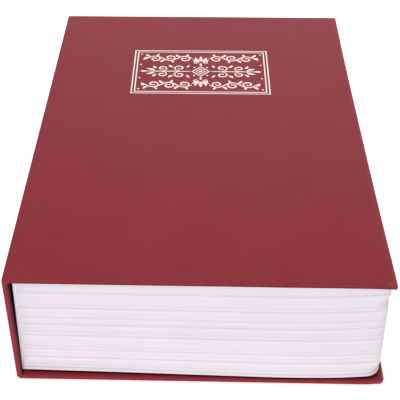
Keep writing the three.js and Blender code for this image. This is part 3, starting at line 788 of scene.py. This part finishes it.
def quarterOrnament():
    # upper right quarter, in millimetres from the label's centre; the other three are mirrored
    y, halfWave = 14.6, 8.0
    strokes = [vine(4.6, 28.6, y, 2.4, halfWave, 0.8)]
    for k in range(3):
        x, sign = 4.6 + halfWave * (k + 0.5), 1 if k % 2 == 0 else -1
        strokes.append(curl((x, y - 0.7 * sign), 3.0, 90 * sign, 1.25 * sign, 0.8))
        strokes.append(leaf((x + 2.6, y + 1.9 * sign), 52 * sign, 3.6, 1.5, -0.16 * sign))
        strokes.append(leaf((x - 0.4, y + 2.5 * sign), 118 * sign, 2.9, 1.2, 0.16 * sign))
    strokes += [leaf((28.4, y), -38, 3.2, 1.3, 0.15), leaf((28.4, y), 8, 2.7, 1.1, 0.1)]
    strokes += [leaf((0.5, 11.4), 62, 5.0, 1.5, -0.14), leaf((0.5, 11.4), 28, 4.3, 1.5, -0.14)]
    strokes.append(curl((2.6, 10.4), 1.5, 162, 1.1, 0.6))
    strokes.append(curl((11.2, 3.6), 3.1, -90, 1.25, 0.8))
    strokes.append(curl((20.4, 3.2), 2.7, -90, -1.25, 0.75))
    strokes += [leaf((14.6, 4.6), 48, 3.4, 1.5, -0.15), leaf((7.6, 4.4), 118, 2.8, 1.3, 0.12)]
    strokes += [leaf((23.3, 3.4), 58, 3.2, 1.4, -0.15), leaf((24.4, 0.9), 22, 4.8, 1.5, 0.12)]
    return strokes


def ornament():
    shapes = [framePart(label["outer"], label["line"]), framePart(label["inner"], label["line"])]
    dots = ((3.4, 4.4, 0.6), (32.0, 19.2, 0.55), (32.0, 7.4, 0.55))
    for sx in (1, -1):
        for sy in (1, -1):
            shapes += [stroke(points, widths, sx, sy) for points, widths in quarterOrnament()]
            shapes += [disc(sx * x, sy * y, radius) for x, y, radius in dots]
    for side in (1, -1):
        shapes.append(stroke(*vine(5.4, 29.0, 0.0, 0.0, 8.0, 0.75), side, 1))
        shapes.append(stroke(*leaf((28.6, 0.0), 0, 3.4, 1.6, 0), side, 1))
        shapes.append(stroke(*leaf((0.0, 11.4), 90, 5.6, 1.7, 0), 1, side))
        shapes.append(stroke(*leaf((0.0, 6.2), 90, 3.0, 1.3, 0), 1, side))
    shapes += [lozenge(9.8, 11.4, 0.7), lozenge(5.4, 6.4, 0.55), disc(0, 0, 0.9)]
    top = book["coverTop"] - label["sink"]
    return thinPiece("label_foil", shapes, top - label["root"], top + label["foil"] / 2, foil)


def pressedBand():
    # the gutter between the two frame lines is pressed deepest; a dark strip of painted shade stands for its shadow
    gap, top = label["gutterGap"], book["coverTop"] - label["sink"]
    wide = tuple(v - 2 * label["line"] - 2 * gap for v in label["outer"])
    line = (label["outer"][0] - label["inner"][0]) / 2 - label["line"] - 2 * gap
    outline = framePart(wide, line)
    return thinPiece("label_gutter", [outline], top - label["root"], top + label["gutterRise"], gutterShade)


labelFoil = ornament()
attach(labelFoil, "front_cover")
labelGutter = pressedBand()
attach(labelGutter, "front_cover")
print("label stamped")


# spine: the same sheet, turned in at head and tail only

spineRun = upperPivot - lowerPivot
spineUp = spineRun.normalized()
spineIn = Vector((spineUp.z, 0, -spineUp.x))
seamFromPivot = book["backSeam"] - lowerPivot.x


def endSection(thickness):
    # closed section across the book: the tail's wrapped end, then the head's, with the turn-ins inside
    profile, half = wrapProfile(thickness), book["halfLength"]
    tail = [(inward - half, depth) for inward, depth in profile]
    head = [(half - inward, depth) for inward, depth in reversed(profile)]
    return tail + head


def paintEndWearAndShading(mesh, isInside=None):
    # wear and painted highlight at head and tail; painted shade on the spine's inner side
    half = book["halfLength"]
    rubAndHighlight = [edgeWearAndShading["endRubAndHighlight"] * (1 - smoothStep((half - abs(v.co.y)) / cover["wearAndHighlightReach"])) for v in mesh.vertices]
    paint(mesh, "wearAndHighlight", rubAndHighlight)
    paint(mesh, "shade", [edgeWearAndShading["spineShade"] if isInside and isInside(v.co) else 0.0 for v in mesh.vertices])


def sectionPiece(name, points, section, lined):
    # a closed section (place across the book, depth) carried along; lined picks the faces that the lining covers
    size, slots = len(section), []
    faces = ringFaces(len(points) // size, size)
    for face in faces:
        ys, depths = zip(*(section[i % size] for i in face))
        slots.append(1 if len(face) == 4 and lined(ys, depths) else 0)
    return meshPiece(name, points, faces, [leather, lining], faceSlot=slots)


def spineSheet():
    half, inside, bare = book["halfLength"], book["coverThickness"] - cover["sheet"] - hair, cover["bare"] + hair
    section = endSection(book["coverThickness"])
    points = []
    for along in spread(seamFromPivot, spineRun.length - seamFromPivot, cover["spineGrid"]):
        for y, depth in section:
            place = lowerPivot + spineUp * along + spineIn * (depth - book["jointRadius"])
            points.append((place.x, y, place.z))
    piece = sectionPiece(
        "spine_paper", points, section,
        lambda ys, depths: min(depths) > inside and max(half - abs(y) for y in ys) > bare,
    )
    paintEndWearAndShading(piece.data, lambda point: (point - lowerPivot).dot(spineIn) + book["jointRadius"] > inside)
    return piece


spineCover = spineSheet()
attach(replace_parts(spineCover, "spine_covering"), "spine")


# cloth joints: the sheet dips into a groove between the boards and fills out at head and tail

clothJoint = {
    "thin": 0.65 * mm,
    "short": 0.05 * mm,  # how much thinner than the covers the strip is where it meets them
    "boardPart": (0.55, 0.45),  # off the middle from here on it grows thicker, over so much
    "endFull": 3.2 * mm,  # how far the full thickness runs in from head and tail
    "endFade": 3.0 * mm,
    "grid": 9 * mm,
    "fadeSteps": 5,
    "arcSteps": 10,
    "legSteps": 3,
    "blendHalf": 0.35 * mm,
    "tuck": 0.4 * mm,  # how far the lower corner is drawn in
}


def jointPath(pivot, coverAlong, coverIn, spineAlong, spineInward, tuck):
    # stations round the corner: (place on the outer face, direction along it, inward direction, reach);
    # a tucked corner is drawn in at its middle
    r = book["jointRadius"]
    stations = []
    for i in range(clothJoint["legSteps"]):
        along = seamFromPivot * (1 - i / clothJoint["legSteps"])
        stations.append((pivot - coverIn * r, coverAlong, coverIn, along))
    turn = coverIn.angle(spineInward)
    for i in range(clothJoint["arcSteps"] + 1):
        share = i / clothJoint["arcSteps"]
        inward = (coverIn * math.sin(turn * (1 - share)) + spineInward * math.sin(turn * share)) / math.sin(turn)
        stations.append((pivot - inward * (r - tuck * math.sin(math.pi * share) ** 2), None, inward, 0.0))
    for i in range(1, clothJoint["legSteps"] + 1):
        along = seamFromPivot * i / clothJoint["legSteps"]
        stations.append((pivot - spineInward * r, spineAlong, spineInward, along))
    return stations


def jointPoint(station, pivot, bothIn, depth):
    base, along, inward, reach = station
    past = depth - book["jointRadius"]
    if along is None:
        return base + inward * depth if past < 0 else pivot + bothIn * past
    return base + inward * depth + along * max(reach, past)


def jointThickness(share, y):
    # full at both boards and at head and tail, thin in the groove
    full, thin = book["coverThickness"] - clothJoint["short"], clothJoint["thin"]
    towardsBoard = ramp(abs(2 * share - 1), *clothJoint["boardPart"])
    towardsEnd = 1 - ramp(book["halfLength"] - abs(y), clothJoint["endFull"], clothJoint["endFade"])
    return thin + (full - thin) * max(towardsBoard, towardsEnd)


def jointStrip(name, pivot, coverAlong, coverIn, spineAlong, spineInward, tuck=0.0):
    half, flat, steps = book["halfLength"], cover["wearAndHighlightReach"] + cover["outerNose"], clothJoint["fadeSteps"]
    nose, blackHalf = noseArc(book["coverThickness"]), half - cover["bare"]
    stations = jointPath(pivot, coverAlong, coverIn, spineAlong, spineInward, tuck)
    inner = [blackHalf, half - flat]
    inner += [half - clothJoint["endFull"] - clothJoint["endFade"] * i / steps for i in range(steps + 1)]
    inner = [-y for y in inner] + spread(-inner[-1], inner[-1], clothJoint["grid"])[1:-1] + list(reversed(inner))
    points = []
    for k, station in enumerate(stations):
        share = k / (len(stations) - 1)
        section = [(flat - half, 0.0)] + [(d - half, h) for d, h in nose]
        section += [(y, jointThickness(share, y)) for y in inner]
        section += [(half - d, h) for d, h in reversed(nose)] + [(half - flat, 0.0)]
        for y, depth in section:
            place = jointPoint(station, pivot, coverIn + spineInward, depth)
            points.append((place.x, y, place.z))
    piece = sectionPiece(
        name, points, section, lambda ys, depths: min(depths) > hair and abs(sum(ys) / len(ys)) < blackHalf,
    )
    paintEndWearAndShading(piece.data)
    return piece


along = Vector((1, 0, 0))
up = Vector((0, 0, 1))
backJoint = jointStrip("back_joint_paper", lowerPivot, along, up, spineUp, spineIn, clothJoint["tuck"])
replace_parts(backJoint, "back_joint")
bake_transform(backJoint)
frontJoint = jointStrip("front_joint_paper", upperPivot, along, -up, -spineUp, spineIn)
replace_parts(frontJoint, "front_joint")
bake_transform(frontJoint)
print("spine and joints made")


# page block: one white moulding, ridged like page edges on three sides

blockLow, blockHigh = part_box("page_block")
pages = {
    # for each groove its height at the spine's end, how deep it is, and how far the bundle above falls back
    "grooves": [
        (4.45, 1.0, 0.5), (6.45, 0.55, 0.4), (7.9, 0.1, 0.5), (10.45, 0.8, 0.2), (12.85, 0.35, 0.4),
        (15.05, 0.7, 0.3), (16.85, 0.45, 0.1), (18.8, 0.06, 0.2), (20.3, 0.15, 0.5), (22.85, 0.95, 0.3),
        (24.9, 0.5, 0.6), (28.85, 1.0, 0.2), (32.55, 0.85, 0.3), (34.7, 0.15, 1.0), (37.55, 1.1, 0.0),
        (39.4, 0.5, 0.3), (42.0, 0.1, 0.6), (45.45, 1.05, 0.1), (48.75, 0.3, 0.4),
    ],
    "depth": 0.24 * mm,
    "shares": (0.62, 0.38),  # of that depth: the soft flanks' and the core's
    "reach": 1.25 * mm,  # half width of a groove's soft flanks
    "core": 0.42 * mm,
    "rows": (-1.0, -0.65, -0.4, -0.2, 0, 0.2, 0.4, 0.65, 1.0),  # where a groove is cut, in shares of rowReach
    "rowReach": 0.7,  # of the flanks' reach
    "rowStep": 0.7 * mm,  # between grooves
    "rowGap": 0.12 * mm,  # rows closer than this are left out
    "slant": 0.1 * mm,  # each bundle of pages falls back a little towards its upper side
    "foreSlant": 0.22 * mm,  # and this much more on the fore-edge
    "fan": 0.00034,  # the grooves climb towards the fore-edge
    "drift": (0.22 * mm, 19, 60),  # and waver: height, waves along, waves upwards
    "moveFrom": (4.6 * mm, 3 * mm),  # both begin at this height, over so much, and end likewise
    "moveTo": (50.5 * mm, 3.5 * mm),
    "ragged": 0.10 * mm,  # the most that a bundle falls back as a whole
    "sway": (14, 3.7),  # waves along a bundle, and from one to the next
    "swayShare": 0.4,
    "topBundle": 45.45 * mm,  # the bundle above this height stands prouder at the fore-edge
    "topProud": 0.4 * mm,
    "topNotch": 1.0 * mm,  # just below it the pages fall back, then come out again
    "stepDrop": 2.0 * mm,  # that step sits lower than the groove it belongs to
    "stepTop": (-0.3 * mm, 0.6 * mm),
    "notch": (1.8 * mm, 4.4 * mm),
    "squareCorner": 0.6 * mm,  # the tail corner is squarer than its path
    "footPull": 1.3 * mm,  # and drawn in at the foot
    "footPart": (3.6 * mm, 4 * mm),  # height from which that fades, and over how much
    "footCorner": (104 * mm, 8 * mm),  # the same towards the tail
    "lipFoot": 3.34 * mm,
    "lipTop": 4.15 * mm,
    "lipFade": (-0.3 * mm, 0.4 * mm),
    "lipProud": 0.24 * mm,
    "undercut": 4.0 * mm,
    "lipRound": 0.45 * mm,
    "roundSteps": 4,
    "bevel": (0.12 * mm, 0.15 * mm),  # of the lip's lower edge; the underside falls to the second one inside
    # tail face seen from above: it runs a little askew, then eases into the fore-edge
    "tailLine": [
        (-74.5, -117.0), (-56, -117.4), (-39, -117.7), (-22, -118.08), (-5, -118.5), (12, -118.9), (27, -119.22),
        (36, -119.32), (44, -119.28), (55.5, -118.98), (62.2, -118.58), (69, -117.95), (72.6, -117.35),
        (74.8, -116.1), (76.0, -114.2), (76.7, -111.6), (76.9, -108.5), (77.0, -104),
    ],
    "lineStep": 1.6,
    "sideStep": 4 * mm,
    "sideEnd": 104 * mm,
    "strip": (0, 0.25, 0.6, 0.9, 1.15, 1.35, 1.7, 2.4),  # places across the plain strip beside the spine
    "stripSlope": 0.024,
    "stripWidth": 3 * mm,
    "stripEdge": (1.1 * mm, 0.5 * mm),  # from here and over so much the ridges begin
    "headSkew": (0.0205, 36 * mm),  # the head runs askew too, up to this place
}
# painted light and shade on the pages: 0 for the plain colour, more is painted shade, less is painted highlight
pageShading = {
    "above": (0.45, 3.2 * mm, 0.7),  # painted shade above a groove: strength, reach, and the share of its bundle that limits it
    # painted shade in a groove's core
    "core": 0.75,
    "glint": (0.35, 1.0 * mm, 0.5 * mm),  # painted highlight, a pale line below a groove: strength, how far below, width
    # painted shade added all over the ridged pages
    "all": 0.35,
    "lowPart": (20 * mm, 14 * mm),  # on the lower pages the painted shading is stronger and a painted highlight makes them paler
    "lowContrast": 0.3,
    "lowPale": 0.26,
    # painted highlight at the foot, fading out upwards over these heights
    "foot": (-2 * mm, 24 * mm),
    "footPale": 0.8,
    # painted highlight on the lip
    "lip": -0.8,
    "sway": 0.3,
    # painted highlight on the plain strip beside the spine
    "strip": 0.5,
}
# the seat that the steel box stands in
seat = {
    "gap": 0.6 * mm,  # round the lid
    "corner": 3 * mm,
    "spineWall": 2.2 * mm,
    "stretch": 1.012,  # the rings' points are this much further apart here
    "rim": ((0.4 * mm, 0), (0.12 * mm, 0.12 * mm), (0, 0.4 * mm)),  # how its upper edge is eased: outwards, down
    "rimPart": (60 * mm, 100 * mm),  # the sides past these places are eased
    "foot": 1 * mm,
}


def smoothLine(points, step):
    # Catmull-Rom curve through the points
    result = []
    for i in range(len(points) - 1):
        a, b = points[max(0, i - 1)], points[i]
        c, d = points[i + 1], points[min(len(points) - 1, i + 2)]
        count = max(1, round(math.dist(b, c) / step))
        for k in range(count):
            t = k / count
            result.append(tuple(
                0.5 * (2 * q + (r - p) * t + (2 * p - 5 * q + 4 * r - v) * t * t + (3 * q - p - 3 * r + v) * t ** 3)
                for p, q, r, v in zip(a, b, c, d)
            ))
    return result + [tuple(points[-1])]


def blockPath():
    # (place on the unridged face, outward direction) from the tail's spine end round to the head's
    tail = [(x * mm, y * mm) for x, y in smoothLine(pages["tailLine"], pages["lineStep"])]
    ends = [i for i, (x, _) in enumerate(tail) if x > blockLow.x + pages["stripWidth"]]
    startX, startY = tail[0]
    strip = [startX + d * mm for d in pages["strip"]]
    tail = [(x, startY - (x - startX) * pages["stripSlope"]) for x in strip] + tail[ends[0]:]
    side = [(tail[-1][0], y) for y in spread(tail[-1][1], pages["sideEnd"], pages["sideStep"])[1:-1]]
    shift = blockHigh.y + startY
    slope, slopeEnd = pages["headSkew"]
    head = [(x, shift - y - slope * (min(x, slopeEnd) - startX)) for x, y in tail]
    path = tail + side + list(reversed(head))
    result = []
    for i, place in enumerate(path):
        before, after = path[max(0, i - 1)], path[min(len(path) - 1, i + 1)]
        along = Vector((after[0] - before[0], after[1] - before[1])).normalized()
        result.append((Vector(place), Vector((along.y, -along.x))))
    return result


def pageHeights():
    low, high = pages["lipFoot"], blockHigh.z - pages["lipRound"]
    heights = {round(z, 6) for z in spread(low, high, pages["rowStep"])}
    for z, _, _ in pages["grooves"]:
        heights |= {round(z * mm + row * pages["reach"] * pages["rowReach"], 6) for row in pages["rows"]}
    heights = sorted(h for h in heights if low <= h <= high)
    kept = [heights[0]]
    for h in heights[1:]:
        if h - kept[-1] > pages["rowGap"]:
            kept.append(h)
    return kept


def grooveAt(z, bundleHeight):
    # (setback, painted shading) at a height measured at the spine's end; just below each groove a painted highlight
    # stands for a page edge catching light
    setback, paintedShading, light = 0.0, 0.0, 0.0
    flankShare, coreShare = pages["shares"]
    strengthAbove, reachAbove, bundleShare = pageShading["above"]
    glint, glintBelow, glintWidth = pageShading["glint"]
    for height, strength, _ in pages["grooves"]:
        away = z - height * mm
        flank = max(0.0, 1 - abs(away) / pages["reach"])
        core = math.exp(-(away / pages["core"]) ** 2)
        setback = max(setback, strength * (flankShare * flank * flank + coreShare * core) * pages["depth"])
        above = max(0.0, 1 - away / min(reachAbove, bundleShare * bundleHeight)) if away >= 0 else 0.0
        paintedShading = max(paintedShading, strength * (strengthAbove * above + pageShading["core"] * core))
        light += glint * strength * math.exp(-((away + glintBelow) / glintWidth) ** 2)
    return setback, paintedShading - light


def squareUp(outward):
    # most at the middle of the tail corner, nothing on the straight faces
    share = 2 * outward.x * max(0.0, -outward.y)
    return pages["squareCorner"] * max(0.0, share) ** 2


def foreShare(outward):
    # 1 where the face looks to the fore-edge
    return ramp(outward.x, 0.15, 0.5)


def pageLevel(z):
    # what is the same all round at one height
    edges = [0.0] + [height * mm for height, _, _ in pages["grooves"]] + [1.0]
    bundle = next(i for i in range(len(edges) - 1) if z < edges[i + 1])
    floorOf, topOf = max(edges[bundle], pages["lipFoot"]), min(edges[bundle + 1], blockHigh.z)
    upBundle = (z - floorOf) / (topOf - floorOf)
    setback, paintedShading = grooveAt(z, topOf - floorOf)
    low = 1 - ramp(z, *pageShading["lowPart"])
    onLip = 1 - ramp(z - pages["lipTop"], *pages["lipFade"])
    paintedShading = paintedShading * (1 + pageShading["lowContrast"] * low) - pageShading["lowPale"] * low + pageShading["all"]
    paintedShading -= pageShading["footPale"] * (1 - ramp(z, *pageShading["foot"]))
    below = pages["topBundle"] - pages["stepDrop"] - z
    inTop = 1 - ramp(below, *pages["stepTop"])
    under = smoothStep(below / pages["notch"][0]) * (1 - ramp(below, *pages["notch"]))
    top, fade = pages["moveTo"]
    return {
        "bundle": bundle,
        "fallBack": pages["grooves"][bundle - 1][2] * pages["ragged"] if bundle else 0.0,
        "paintedShading": paintedShading + (pageShading["lip"] - paintedShading) * onLip,
        "setback": setback + (pages["slant"] * upBundle if bundle else 0.0),
        "lip": pages["lipProud"] * onLip,
        "atFore": pages["topProud"] * inTop - pages["topNotch"] * under - pages["foreSlant"] * upBundle,
        "atFoot": 1 - ramp(z, *pages["footPart"]),
        "moves": ramp(z, *pages["moveFrom"]) * smoothStep((top - z) / fade),
    }


def pageRing(z, path):
    # one ring round the three page sides and the painted shading of each of its points
    level = pageLevel(z)
    driftBy, driftAlong, driftUp = pages["drift"]
    swayAlong, swayUp = pages["sway"]
    ring, shadings = [], []
    for place, outward in path:
        fromSpine = place.x - path[0][0].x
        ridged, atFore = ramp(fromSpine, *pages["stripEdge"]), foreShare(outward)
        sway = noise.noise(Vector((place.x * swayAlong, place.y * swayAlong, level["bundle"] * swayUp)))
        loose = level["fallBack"] * (1 + pages["swayShare"] * sway)
        rise = pages["fan"] / mm * fromSpine * z
        rise += driftBy * noise.noise(Vector((place.x * driftAlong, place.y * driftAlong, 40 + z * driftUp)))
        footPull = pages["footPull"] * level["atFoot"] * atFore * ramp(-place.y, *pages["footCorner"])
        extra = level["lip"] + level["atFore"] * atFore - footPull
        spot = place + outward * (extra - ridged * (level["setback"] + loose) + squareUp(outward))
        ring.append((spot.x, spot.y, z + rise * level["moves"] * ridged))
        shadings.append(level["paintedShading"] * (1 + pageShading["sway"] * sway) * ridged - pageShading["strip"] * (1 - ridged))
    return ring, shadings


def topRings(path):
    # the soft upper edge
    rings, r, steps = [], pages["lipRound"], pages["roundSteps"]
    for i in range(1, steps + 1):
        a = math.pi / 2 * i / steps
        ring = []
        for place, outward in path:
            push = pages["topProud"] * foreShare(outward) + squareUp(outward)
            spot = place + outward * (push - r + r * math.cos(a))
            ring.append((spot.x, spot.y, blockHigh.z - r + r * math.sin(a)))
        rings.append(ring)
    return rings


def seatRings(path):
    # from the top down the seat's wall
    lidHigh, gap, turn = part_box("lid_panel")[1], seat["gap"], seat["corner"]
    left, right, half = blockLow.x + seat["spineWall"], lidHigh.x + gap, lidHigh.y + gap
    inside = []
    for place, outward in path:
        x = min(right, max(left, left + (place.x - path[0][0].x) * seat["stretch"]))
        y = max(-half, min(half, place.y))
        if abs(outward.y) > 0.5 or abs(place.y) > half:
            y = math.copysign(half, place.y)
        if x > right - turn and abs(y) > half - turn:
            away = Vector((x - (right - turn), abs(y) - (half - turn)))
            away = away.normalized() * turn if away.length > turn else away
            x, y = right - turn + away.x, math.copysign(half - turn + away.y, y)
        inside.append((x, y))
    wall = [(grow, blockHigh.z - down) for grow, down in seat["rim"]]
    wall += [(0, blockLow.z + seat["foot"]), (0, blockLow.z)]
    pastX, pastY = seat["rimPart"]
    rings = []
    for grow, z in wall:
        rings.append([
            (x + (grow if x > pastX else 0), y + (math.copysign(grow, y) if abs(y) > pastY else 0), z)
            for x, y in inside
        ])
    return rings


def footRings(path):
    # under the lip, which stands out past the foot
    inset, foot, (bevel, bevelIn) = pages["undercut"], pages["lipFoot"], pages["bevel"]
    steps = [(inset, blockLow.z), (inset, foot - bevelIn), (bevel, foot - bevel)]
    return [[((p - o * back).x, (p - o * back).y, z) for p, o in path] for back, z in steps]


def pageBlock():
    path = blockPath()
    rings, shadings = [], []
    for z in pageHeights():
        ring, ringShadings = pageRing(z, path)
        rings.append(ring)
        shadings += ringShadings
    rings += topRings(path) + seatRings(path) + footRings(path)
    shadings += [0.0] * (len(rings) * len(path) - len(shadings))
    points = [p for ring in rings for p in ring]
    faces = ringFaces(len(rings), len(path), closedLoop=True)
    return meshPiece("page_block_moulding", points, faces, [plastic], crease=50, shadings=shadings)


pageMoulding = pageBlock()
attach(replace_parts(pageMoulding, "page_block"), "case")
print("page block moulded")


# steel pieces: their edges eased, the lock's thread and nut cut fine

steel = {
    # how far the edges of each piece are eased
    "case": {"lock_strike": 0.2 * mm, "hinge_pin": 0.25 * mm},
    "lid": {"lid_panel": 0.16 * mm},
    "lock_core": {"lock_plug": 0.12 * mm, "lock_cam": 0.28 * mm, "cam_screw": 0.12 * mm},
    "turn": math.radians(33),  # flatter edges than this are left alone
}
cutLock = {
    "steps": 64,
    "bore": 5.68 * mm,
    "barrel": 8 * mm,
    "flats": 6.8 * mm,
    "flange": 1.3 * mm,
    "chamfer": 0.5 * mm,
    "neck": 0.3 * mm,  # how much narrower the barrel is under the flange
    "edge": 0.15 * mm,  # how the flange's edges are broken
    "lowEdge": 0.2 * mm,
    "mouth": 0.25 * mm,
    "pitch": 1.0 * mm,
    "threadDepth": 0.36 * mm,
}
nut = {
    "steps": 72,
    "across": 21 * mm,
    "hole": 8.1 * mm,
    "holeEdge": 0.3 * mm,
    "face": 10.2 * mm,  # its flat ring ends here and the corners slope away
    "slope": math.radians(30),
}
rivetHead = {
    "steps": 32,
    "radius": 4 * mm,
    "shank": 1.9 * mm,
    "height": 1.2 * mm,
    "edge": (0.1 * mm, 0.12 * mm),
    "domeSteps": 7,
    "dimple": 1.5 * mm,
    "dimpleDepth": 0.35 * mm,
    "dimpleForm": ((0.6, 0.8), (0.2, 1.0)),  # shares of its radius and depth
}
finishes = {
    "grey_board": cardCore, "red_covering": leather, "black_lining": lining, "white_plastic": plastic,
    "black_steel": powder, "plated_steel": plated, "lock_chrome": chrome,
}
slotOf = {part["node"]: part["material_slot"] for part in frame["record"]["subparts"]}


def keepFlat(piece):
    # large faces shade flat up to their rounded edges
    weighted = piece.modifiers.new("flat_faces", "WEIGHTED_NORMAL")
    weighted.keep_sharp = True
    weighted.weight = 100
    return piece


def easedCopy(node, ease):
    # the CAD solid with its edges rounded over
    mesh, bm = nodeCopy(node, node + "_eased")
    edges = [e for e in bm.edges if len(e.link_faces) == 2 and e.calc_face_angle() > steel["turn"]]
    bmesh.ops.bevel(
        bm, geom=edges, offset=ease, offset_type="OFFSET", segments=2, profile=0.5, affect="EDGES",
        clamp_overlap=True,
    )
    bmesh.ops.recalc_face_normals(bm, faces=bm.faces)
    return keepFlat(finishPiece(bm, mesh, [finishes[slotOf[node]]], crease=50))


def turnedPiece(name, profile, place, count, material, radiusAt=None):
    # rings of the profile's (radius, height) points; radiusAt cuts them by angle and height, and closes the profile
    points = []
    for radius, z in profile:
        for i in range(count):
            angle = 2 * math.pi * i / count
            reach, height = radiusAt(radius, angle, z) if radiusAt else (radius, z)
            points.append((place.x + reach * math.cos(angle), place.y + reach * math.sin(angle), height))
    faces = ringFaces(len(profile), count, closedLoop=bool(radiusAt))
    return keepFlat(meshPiece(name, points, faces, [material], crease=32))


def lockHousing():
    low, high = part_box("lock_housing")
    under, chamfer, pitch = high.z - cutLock["flange"], cutLock["chamfer"], cutLock["pitch"]
    barrel, flange, bore = cutLock["barrel"], (high.x - low.x) / 2, cutLock["bore"]
    neck, edge, mouth = cutLock["neck"], cutLock["edge"], cutLock["mouth"]
    threads = [(barrel, z) for z in spread(low.z + chamfer, under - neck, pitch / 4)]
    profile = [(bore, low.z), (barrel - chamfer, low.z)] + threads
    profile += [(barrel - neck, under), (flange - edge, under), (flange, under + edge)]
    profile += [(flange, high.z - chamfer), (flange - edge, high.z - cutLock["lowEdge"]), (flange - chamfer, high.z)]
    profile += [(bore + mouth, high.z), (bore, high.z - mouth)]

    def threaded(radius, angle, z):
        if bore < radius < barrel + hair and z < under:
            if z > low.z + chamfer / 2:
                turn = (z / pitch - angle / (2 * math.pi)) % 1
                radius -= cutLock["threadDepth"] * abs(2 * turn - 1)
            radius = min(radius, cutLock["flats"] / max(1e-6, abs(math.sin(angle))))
        return radius, z

    return turnedPiece("lock_housing_cut", profile, lockAxis, cutLock["steps"], chrome, threaded)


def lockNut():
    low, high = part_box("lock_nut")
    hole, face, edge = nut["hole"], nut["face"], nut["holeEdge"]
    # (radius, height); without a radius the point lies on the hexagon and slopes with it
    profile = [(hole + edge, low.z), (face, low.z), (None, low.z), (None, high.z), (face, high.z)]
    profile += [(hole + edge, high.z), (hole, high.z - edge), (hole, low.z + edge)]

    def hexagon(radius, angle, z):
        if radius is not None:
            return radius, z
        past = (math.degrees(angle) + 30) % 60 - 30
        reach = nut["across"] / 2 / math.cos(math.radians(30 - abs(past)))
        away = (reach - face) * math.tan(nut["slope"])
        return reach, z + away if z < (low.z + high.z) / 2 else z - away

    return turnedPiece("lock_nut_cut", profile, lockAxis, nut["steps"], plated, hexagon)


def floorRivet(node):
    # domed head with the dimple that the setting tool leaves
    low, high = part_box(node)
    radius, shank, foot = rivetHead["radius"], rivetHead["shank"], high.z - rivetHead["height"]
    dimple, steps, (edgeIn, edgeUp) = rivetHead["dimple"], rivetHead["domeSteps"], rivetHead["edge"]
    profile = [(shank, low.z), (shank, foot), (radius - edgeIn, foot), (radius, foot + edgeUp)]
    for i in range(1, steps + 1):
        reach = radius + (dimple - radius) * i / steps
        rise = (high.z - foot - edgeUp) * math.sqrt(1 - (reach - dimple) ** 2 / (radius - dimple) ** 2)
        profile.append((reach, foot + edgeUp + rise))
    profile += [(dimple * wide, high.z - deep * rivetHead["dimpleDepth"]) for wide, deep in rivetHead["dimpleForm"]]
    return turnedPiece(node + "_domed", profile, (low + high) / 2, rivetHead["steps"], plated)


for body in ("case", "lid", "lock_core"):
    for node, ease in steel[body].items():
        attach(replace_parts(easedCopy(node, ease), node), body)
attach(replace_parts(lockHousing(), "lock_housing"), "lid")
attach(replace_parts(lockNut(), "lock_nut"), "lid")
for k in range(1, 5):
    node = "floor_rivet_%d" % k
    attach(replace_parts(floorRivet(node), node), "case")
print("steel pieces made")


# finishes for the pieces that keep their CAD shape

for name, node in frame["nodes"].items():
    node.data.materials.clear()
    node.data.materials.append(finishes[slotOf[name]])
    node.data.shade_smooth()
    node.data.set_sharp_from_angle(angle=math.radians(32))
print("finishes given")


# floor, light and camera

studio = {
    "floor": (0.95, 0.95, 0.95, 1),
    "floorReach": 4.0,
    "floorDrop": 0.02 * mm,
    "floorGlow": 0.38,
    "worldStrength": 0.47,
    "aim": (0, 0, 0.03),
    "lights": [
        # name, place, size, strength
        ("top_softbox", (-0.15, 0.7, 1.2), 1.6, 8.2),
        ("front_softbox", (-0.4, -1.25, 0.95), 1.1, 13.0),
        ("back_softbox", (0.22, 1.74, 0.76), 1.5, 13.5),
    ],
}


def softbox(name, place, size, strength):
    light = bpy.data.lights.new(name, "AREA")
    light.size = size
    light.energy = strength
    lamp = linkObject(name, light)
    lamp.location = place
    lamp.rotation_mode = "QUATERNION"
    lamp.rotation_quaternion = (Vector(studio["aim"]) - Vector(place)).to_track_quat("-Z", "Y")


def paleFloor():
    s = Surface("pale_floor")
    s.set(Base_Color=studio["floor"], Roughness=0.9, Emission_Color=white, Emission_Strength=studio["floorGlow"])
    reach = studio["floorReach"]
    points = [(-reach, -reach, 0), (reach, -reach, 0), (reach, reach, 0), (-reach, reach, 0)]
    floor = meshPiece("floor", points, [(0, 1, 2, 3)], [s.material])
    floor.location.z = -studio["floorDrop"]


paleFloor()
for settings in studio["lights"]:
    softbox(*settings)
world = bpy.data.worlds.new("studio_white")
scene.world = world
world.use_nodes = True
backdrop = world.node_tree.nodes["Background"].inputs
backdrop["Color"].default_value = white
backdrop["Strength"].default_value = studio["worldStrength"]
scene.view_settings.view_transform = "Standard"

view = {
    "place": (-0.96 * mm, -425.65 * mm, 311.82 * mm),
    "down": math.radians(35.494),
    "aside": math.radians(-2.079),
    "roll": math.radians(-0.477),
    "focalPixels": 1018.22,
    "pictureWidth": 400,
    "axisAt": (168.0, 201.2),  # where the lens axis meets the picture, which is cropped off centre
}
camera = bpy.data.cameras.new("camera")
camera.sensor_width = 36
camera.lens = view["focalPixels"] / view["pictureWidth"] * camera.sensor_width
camera.shift_x = 0.5 - view["axisAt"][0] / view["pictureWidth"]
camera.shift_y = view["axisAt"][1] / view["pictureWidth"] - 0.5
cameraPiece = linkObject("camera", camera)
down, aside, roll = view["down"], view["aside"], view["roll"]
forward = Vector((math.cos(down) * math.sin(aside), math.cos(down) * math.cos(aside), -math.sin(down)))
sideways = forward.cross(up).normalized()
above = sideways.cross(forward)
right = sideways * math.cos(roll) + above * math.sin(roll)
upwards = above * math.cos(roll) - sideways * math.sin(roll)
axes = Matrix((right, upwards, -forward)).transposed()
cameraPiece.matrix_world = Matrix.Translation(Vector(view["place"])) @ axes.to_4x4()
camera.clip_start = 0.01
scene.camera = cameraPiece
print("camera set")
